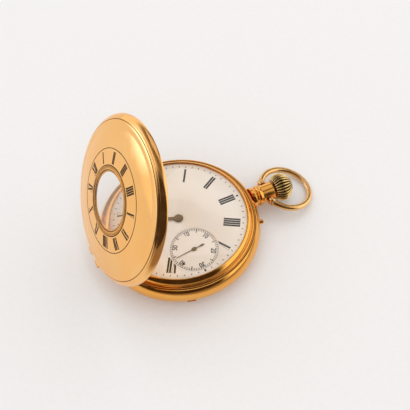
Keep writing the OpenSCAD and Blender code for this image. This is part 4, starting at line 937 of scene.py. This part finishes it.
def build_dial():
    """The dial, where the seconds dial takes the place of VI"""
    low, high = solid_span("dial")
    radius, base, ink = high[0], low[2], ink_height()
    well, track_r = 7.2, 19.5
    middle_r, tall, thick, thin = 16.1, 5.0, 0.59, 0.08
    bm = bmesh.new()
    disc_with_well(bm, radius, base, DIAL_Z, Vector(SECONDS_AXIS[:2]), well, 1.1)
    new_piece("dial_plate", bm, "case", "dial enamel", ["dial"], 50)
    bm = bmesh.new()
    lathe(bm, tube_outline(0.41, well - 0.02, base, SECONDS_Z, 0.04),
          Matrix.Translation((SECONDS_AXIS[0], SECONDS_AXIS[1], 0)), 128)
    new_piece("seconds_dial_plate", bm, "case", "dial enamel", ["seconds_dial"], 50)
    bm = bmesh.new()
    for n, letters in enumerate(ROMAN, 1):
        if n == 6:
            continue
        at = turned_about(n * 30, middle_r)
        for corners in roman_strokes(letters, tall, thick, thin):
            kept = outside_seconds([at(*p) for p in corners], well + 0.25)
            if kept:
                slab(bm, kept, on_dial, -0.01, ink, 1, 2)
    new_piece("dial_numeral_enamel", bm, "case", "ink", ["dial_numerals"])
    bm = bmesh.new()
    for minute in range(60):
        at = turned_about(minute * 6, track_r)
        width, length = (0.5, 0.75) if minute % 15 == 0 else (0.22, 0.5)
        slab(bm, [at(*p) for p in bar(0, width, length)], on_dial, -0.01, ink, 1, 1)
    new_piece("dial_minute_track", bm, "case", "ink")


def disc_with_well(bm, radius, low, high, well_at, well_r, centre_hole):
    """A disc with a round well cut near its rim and a small hole in its middle"""
    outer = [Vector((radius * math.cos(a), radius * math.sin(a))) for a in turns(ROUND)]
    well = [well_at + Vector((well_r * math.cos(a), well_r * math.sin(a))) for a in turns(96)]
    middle = [Vector((centre_hole * math.cos(a), centre_hole * math.sin(a))) for a in turns(40)]
    softened_by = 0.05
    for z, sign in ((high, 1), (low, -1)):
        loops = [[], [], []]
        for k, (loop, centre, grow) in enumerate(((outer, Vector((0, 0)), -1), (well, well_at, 1),
                                                  (middle, Vector((0, 0)), 1))):
            for p in loop:
                out = (p - centre).normalized()
                flat = p + out * grow * softened_by if sign > 0 else p
                loops[k].append(bm.verts.new((flat.x, flat.y, z)))
        edges = []
        for loop in loops:
            edges += [bm.edges.new((loop[i - 1], loop[i])) for i in range(len(loop))]
        bmesh.ops.triangle_fill(bm, edges=edges, use_beauty=True)
        if sign > 0:
            tops = loops
        else:
            for k, loop in enumerate(loops):
                source = (outer, well, middle)[k]
                rim = [bm.verts.new((p.x, p.y, high - softened_by)) for p in source]
                for i in range(len(loop)):
                    bm.faces.new((tops[k][i - 1], tops[k][i], rim[i], rim[i - 1]))
                    bm.faces.new((rim[i - 1], rim[i], loop[i], loop[i - 1]))


def build_seconds_track():
    ink = ink_height()
    bm = bmesh.new()
    for radius, width in ((6.4, 0.06), (7.0, 0.07)):
        ring_strip(bm, radius, width, on_seconds, -0.01, ink, 160)
    for second in range(60):
        long = second % 10 == 5
        at = turned_about(second * 6, 6.7 if not long else 6.35)
        width, length = (0.24, 1.3) if long else (0.17, 0.6)
        slab(bm, [at(*p) for p in bar(0, width, length)], on_seconds, -0.01, ink, 1, 1)
    new_piece("seconds_track", bm, "case", "ink")
    bm = bmesh.new()
    for second in range(10, 70, 10):
        add_figures(bm, str(second), turned_about(second * 6, 5.6), 1.55, ink)
    new_piece("seconds_figures", bm, "case", "ink")


def add_figures(bm, text, at, height, ink):
    """Figures from Blender's own letter shapes, flat on the seconds dial"""
    full_size, weight, narrowed = 1.35, 0.05, 0.82
    curve = bpy.data.curves.new("figure", "FONT")
    curve.body = text
    curve.align_x = "CENTER"
    curve.align_y = "CENTER"
    curve.size = height * full_size
    curve.offset = weight
    holder = bpy.data.objects.new("figure", curve)
    bpy.context.scene.collection.objects.link(holder)
    bpy.context.view_layer.update()
    shape = holder.evaluated_get(bpy.context.evaluated_depsgraph_get()).to_mesh()
    verts = []
    for v in shape.vertices:
        x, y = at(v.co.x * narrowed, v.co.y)
        verts.append(bm.verts.new(on_seconds(x, y, ink)))
    for polygon in shape.polygons:
        bm.faces.new([verts[i] for i in polygon.vertices])
    bpy.data.objects.remove(holder)
    bpy.data.curves.remove(curve)


# Hands
def hand_shape(bm, spine, thickness, settle):
    """A hand from stations of (distance, half width), domed along its middle"""
    rows = []
    for y, half in spine:
        rows.append([bm.verts.new(settle(x, y, h)) for x, h in (
            (-half, 0), (-half, thickness * 0.55), (0, thickness), (half, thickness * 0.55), (half, 0))])
    for a, b in zip(rows, rows[1:]):
        for k in range(5):
            bm.faces.new((a[k], a[(k + 1) % 5], b[(k + 1) % 5], b[k]))
    bm.faces.new(rows[0])
    bm.faces.new(rows[-1])


def spade_spine(length, waist, belly):
    """Half widths along a spade hand"""
    at, thin = 0.66, waist * 0.8
    stations = [(0.6, waist * 1.5), (length * 0.3, waist * 1.05), (length * (at - 0.1), thin)]
    stations += [(length * (at - 0.08 + 0.16 * t), thin + (belly - thin) * math.sin(math.pi * t))
                 for t in steps_to_one(12)]
    return stations + [(length * (at + 0.12), waist * 0.55), (length * 0.93, waist * 0.42),
                       (length, waist * 0.15)]


def hand_place(angle, origin):
    turn = Matrix.Rotation(-math.radians(angle), 4, "Z")

    def settle(x, y, h):
        return Matrix.Translation(origin) @ turn @ Vector((x, y, h))
    return settle


def build_hands():
    hour = ("hour_hand", "hour_hand_spade", 12.0, 294, 0.4, 1.15, 1.42, 0.8, "hour")
    minute = ("minute_hand", "minute_hand_spade", 18.3, 288, 0.36, 0.8, 1.2, 0.45, "centre")
    for node, piece, length, angle, waist, belly, boss, bore, body in (hour, minute):
        base = solid_span(node)[0][2]
        bm = bmesh.new()
        settle = hand_place(angle, (0, 0, base))
        hand_shape(bm, spade_spine(length, waist, belly), 0.12, settle)
        lathe(bm, softened([(bore, 0), (boss, 0), (boss, 0.07), (boss - 0.2, 0.12), (bore, 0.12)], 0.03),
              Matrix.Translation((0, 0, base)), 64)
        new_piece(piece, bm, body, "hand gold", [node])
    base = solid_span("seconds_hand")[0][2]
    bm = bmesh.new()
    settle = hand_place(264, (SECONDS_AXIS[0], SECONDS_AXIS[1], base))
    spine = [(-3.4, 0.06), (-3.2, 0.24), (-2.7, 0.32), (-2.2, 0.24), (-1.8, 0.14), (-0.9, 0.14),
             (-0.5, 0.52), (0, 0.66), (0.5, 0.52), (0.9, 0.15), (3, 0.12), (6, 0.07)]
    hand_shape(bm, spine, 0.09, settle)
    new_piece("seconds_hand_leaf", bm, "fourth", "hand gold", ["seconds_hand"])


# Solids that are shown as they are
SOLID_FINISH = {
    "worn gold": ["bow_screws"],
    "case gold": ["setting_pusher"],
    "gilding": ["main_plate", "barrel_bridge", "train_bridge", "balance_cock", "pallet_cock"],
    "brass": ["barrel", "barrel_cover", "centre_wheel", "third_wheel", "fourth_wheel", "minute_wheel",
              "hour_wheel", "balance_wheel"],
    "steel": ["hinge_pins", "winding_stem", "release_collar", "barrel_arbor", "mainspring", "ratchet_wheel",
              "click", "click_spring", "crown_wheel", "winding_pinion", "escape_wheel", "pallet_lever",
              "balance_staff", "regulator"],
    "hand gold": ["cannon_pinion"],
    "blued steel": ["fly_spring", "lock_spring", "case_screws", "bridge_screws", "ratchet_screw",
                    "crown_wheel_screw", "hairspring"],
    "ruby": ["jewels", "pallet_stones"],
}


def dress_solids():
    for finish, nodes in SOLID_FINISH.items():
        for node in nodes:
            mesh = frame["nodes"][node].data
            mesh.materials.clear()
            mesh.materials.append(finishes[finish])


# Stage
def build_stage():
    colours = bpy.context.scene.watch_colours
    bm = bmesh.new()
    bmesh.ops.create_grid(bm, x_segments=1, y_segments=1, size=FLOOR_HALF)
    mesh = bpy.data.meshes.new("floor_paper")
    bm.to_mesh(mesh)
    bm.free()
    floor = bpy.data.objects.new("floor_paper", mesh)
    bpy.context.scene.collection.objects.link(floor)
    floor.location.z = -FLOOR_GAP
    mesh.materials.append(floor_paper("floor_paper", colours.floor))


def dress_world():
    """A pale tent round the watch, open to the dark room behind the photographer"""
    world = bpy.data.worlds.new("tent")
    bpy.context.scene.world = world
    tent = Finish(world)
    toward = tent.add("ShaderNodeTexCoord", output="Generated")

    def facing(direction, low, high):
        return tent.dot(toward, Vector(direction).normalized()).between(low, high)
    opening = ((0.32, 0.38, 0.87), 0.6, 0.9, (0.2, 0.15, 0.1))
    right_panel = ((0.9, -0.35, 0.2), 0.6, 0.86, (1.3, 1.25, 1.1))
    window = ((-0.72, 0.64, 0.26), 0.945, 0.99, (1.75, 2.15, 3.0))
    seam = ((0.66, 0.5, 0.56), 0.93, 0.975, (0.06, 0.04, 0.025))
    dark_room = ((-0.5, -0.78, 0.38), 0.38, 0.6, (0.045, 0.026, 0.014))
    tone = (1.06, 1.02, 0.96)
    for direction, low, high, colour in (opening, right_panel, window, seam, dark_room):
        tone = tent.mix(facing(direction, low, high), tone, colour)
    seen = tent.add("ShaderNodeBackground", inputs={"Color": tone, "Strength": 1.0})
    even = tent.add("ShaderNodeBackground", inputs={"Color": (1, 0.985, 0.98), "Strength": 1.0})
    pale = tent.add("ShaderNodeBackground", inputs={"Color": (0.88, 0.87, 0.86), "Strength": 1.0})
    glossy = tent.add("ShaderNodeLightPath", output="Is Glossy Ray")
    camera = tent.add("ShaderNodeLightPath", output="Is Camera Ray")
    lit = tent.add("ShaderNodeMixShader", inputs={0: glossy, 1: even, 2: seen})
    shown = tent.add("ShaderNodeMixShader", inputs={0: camera, 1: lit, 2: pale})
    tent.show(shown, "ShaderNodeOutputWorld")


def add_lamp(name, energy, size, spot, target, colour):
    light = bpy.data.lights.new(name, "AREA")
    light.energy = energy
    light.size = size
    light.color = colour
    lamp = bpy.data.objects.new(name, light)
    bpy.context.scene.collection.objects.link(lamp)
    lamp.location = spot
    lamp.rotation_euler = (Vector(target) - Vector(spot)).to_track_quat("-Z", "Y").to_euler()


def set_camera():
    """The photograph's view, from the front left and above"""
    azimuth, elevation, roll = (math.radians(a) for a in (-22.16, 55.74, -2.73))
    distance, along_x, along_y = 211.34, 7.97, 4.09
    focal_pixels, picture_pixels = 703.6, 410
    back = Vector((math.sin(azimuth) * math.cos(elevation), -math.cos(azimuth) * math.cos(elevation),
                   math.sin(elevation)))
    right = Vector((0, 0, 1)).cross(back).normalized()
    up = back.cross(right).normalized()
    across = right * math.cos(roll) + up * math.sin(roll)
    upright = up * math.cos(roll) - right * math.sin(roll)
    spot = back * distance + across * along_x + upright * along_y + Vector((0, 0, DIAL_Z))
    data = bpy.data.cameras.new("photograph_view")
    data.lens = focal_pixels / picture_pixels * data.sensor_width
    data.clip_start = 0.01
    data.clip_end = 20
    camera = bpy.data.objects.new("photograph_view", data)
    bpy.context.scene.collection.objects.link(camera)
    turn = Matrix((across, upright, back)).transposed()
    camera.matrix_world = Matrix.Translation(spot * MM) @ turn.to_4x4()
    bpy.context.scene.camera = camera


class WATCH_OT_finishes(bpy.types.Operator):
    """Make the gold, enamel, glass, brass, steel and ruby finishes and dress the plain solids"""

    bl_idname = "watch.finishes"
    bl_label = "Finishes"
    bl_options = {"REGISTER", "UNDO"}

    def execute(self, context):
        make_finishes()
        dress_solids()
        return {"FINISHED"}


class WATCH_OT_front_cover(bpy.types.Operator):
    """Build the front cover with its window, glass and enamel numerals"""

    bl_idname = "watch.front_cover"
    bl_label = "Front cover"
    bl_options = {"REGISTER", "UNDO"}

    def execute(self, context):
        build_front_cover()
        build_cover_window()
        build_cover_numerals()
        return {"FINISHED"}


class WATCH_OT_case(bpy.types.Operator):
    """Build the case middle, bezel, crystal, back cover and cuvette"""

    bl_idname = "watch.case"
    bl_label = "Case"
    bl_options = {"REGISTER", "UNDO"}

    def execute(self, context):
        build_case_band()
        build_bezel()
        build_crystal()
        build_back_cover()
        build_cuvette()
        return {"FINISHED"}


class WATCH_OT_pendant(bpy.types.Operator):
    """Build the pendant, the ribbed crown and the bow"""

    bl_idname = "watch.pendant"
    bl_label = "Pendant, crown and bow"
    bl_options = {"REGISTER", "UNDO"}

    def execute(self, context):
        build_pendant()
        build_crown()
        build_bow()
        return {"FINISHED"}


class WATCH_OT_dial(bpy.types.Operator):
    """Build the dial with its numerals, minute track and sunk seconds dial"""

    bl_idname = "watch.dial"
    bl_label = "Dial"
    bl_options = {"REGISTER", "UNDO"}

    def execute(self, context):
        build_dial()
        build_seconds_track()
        return {"FINISHED"}


class WATCH_OT_hands(bpy.types.Operator):
    """Build the hour, minute and seconds hands"""

    bl_idname = "watch.hands"
    bl_label = "Hands"
    bl_options = {"REGISTER", "UNDO"}

    def execute(self, context):
        build_hands()
        return {"FINISHED"}


class WATCH_OT_stage(bpy.types.Operator):
    """Lay the pale floor and set the light and the camera"""

    bl_idname = "watch.stage"
    bl_label = "Stage"
    bl_options = {"REGISTER", "UNDO"}

    def execute(self, context):
        build_stage()
        dress_world()
        add_lamp("window", 0.5, 0.5, (0.3, 0.35, 0.6), (0, 0, 0), (1, 0.98, 0.95))
        set_camera()
        bpy.context.scene.view_settings.view_transform = "Standard"
        return {"FINISHED"}


class WATCH_PT_panel(bpy.types.Panel):
    """Lists the watch's sizes, colours and builders"""

    bl_label = "Pocket watch"
    bl_idname = "WATCH_PT_panel"
    bl_space_type = "VIEW_3D"
    bl_region_type = "UI"
    bl_category = "Watch"

    def draw(self, context):
        scene = context.scene
        for group in (scene.watch_sizes, scene.watch_colours):
            column = self.layout.column()
            for name in group.__annotations__:
                column.prop(group, name)
        for operator in OPERATORS:
            self.layout.operator(operator.bl_idname)


OPERATORS = (WATCH_OT_finishes, WATCH_OT_front_cover, WATCH_OT_case, WATCH_OT_pendant, WATCH_OT_dial,
             WATCH_OT_hands, WATCH_OT_stage)
CLASSES = (WatchSizes, WatchColours, *OPERATORS, WATCH_PT_panel)


def register():
    for cls in CLASSES:
        bpy.utils.register_class(cls)
    bpy.types.Scene.watch_sizes = bpy.props.PointerProperty(type=WatchSizes)
    bpy.types.Scene.watch_colours = bpy.props.PointerProperty(type=WatchColours)


def unregister():
    del bpy.types.Scene.watch_colours
    del bpy.types.Scene.watch_sizes
    for cls in reversed(CLASSES):
        bpy.utils.unregister_class(cls)


def main():
    register()
    bpy.ops.watch.finishes()
    bpy.ops.watch.front_cover()
    bpy.ops.watch.case()
    bpy.ops.watch.pendant()
    bpy.ops.watch.dial()
    bpy.ops.watch.hands()
    bpy.ops.watch.stage()


if __name__ == "__main__":
    main()
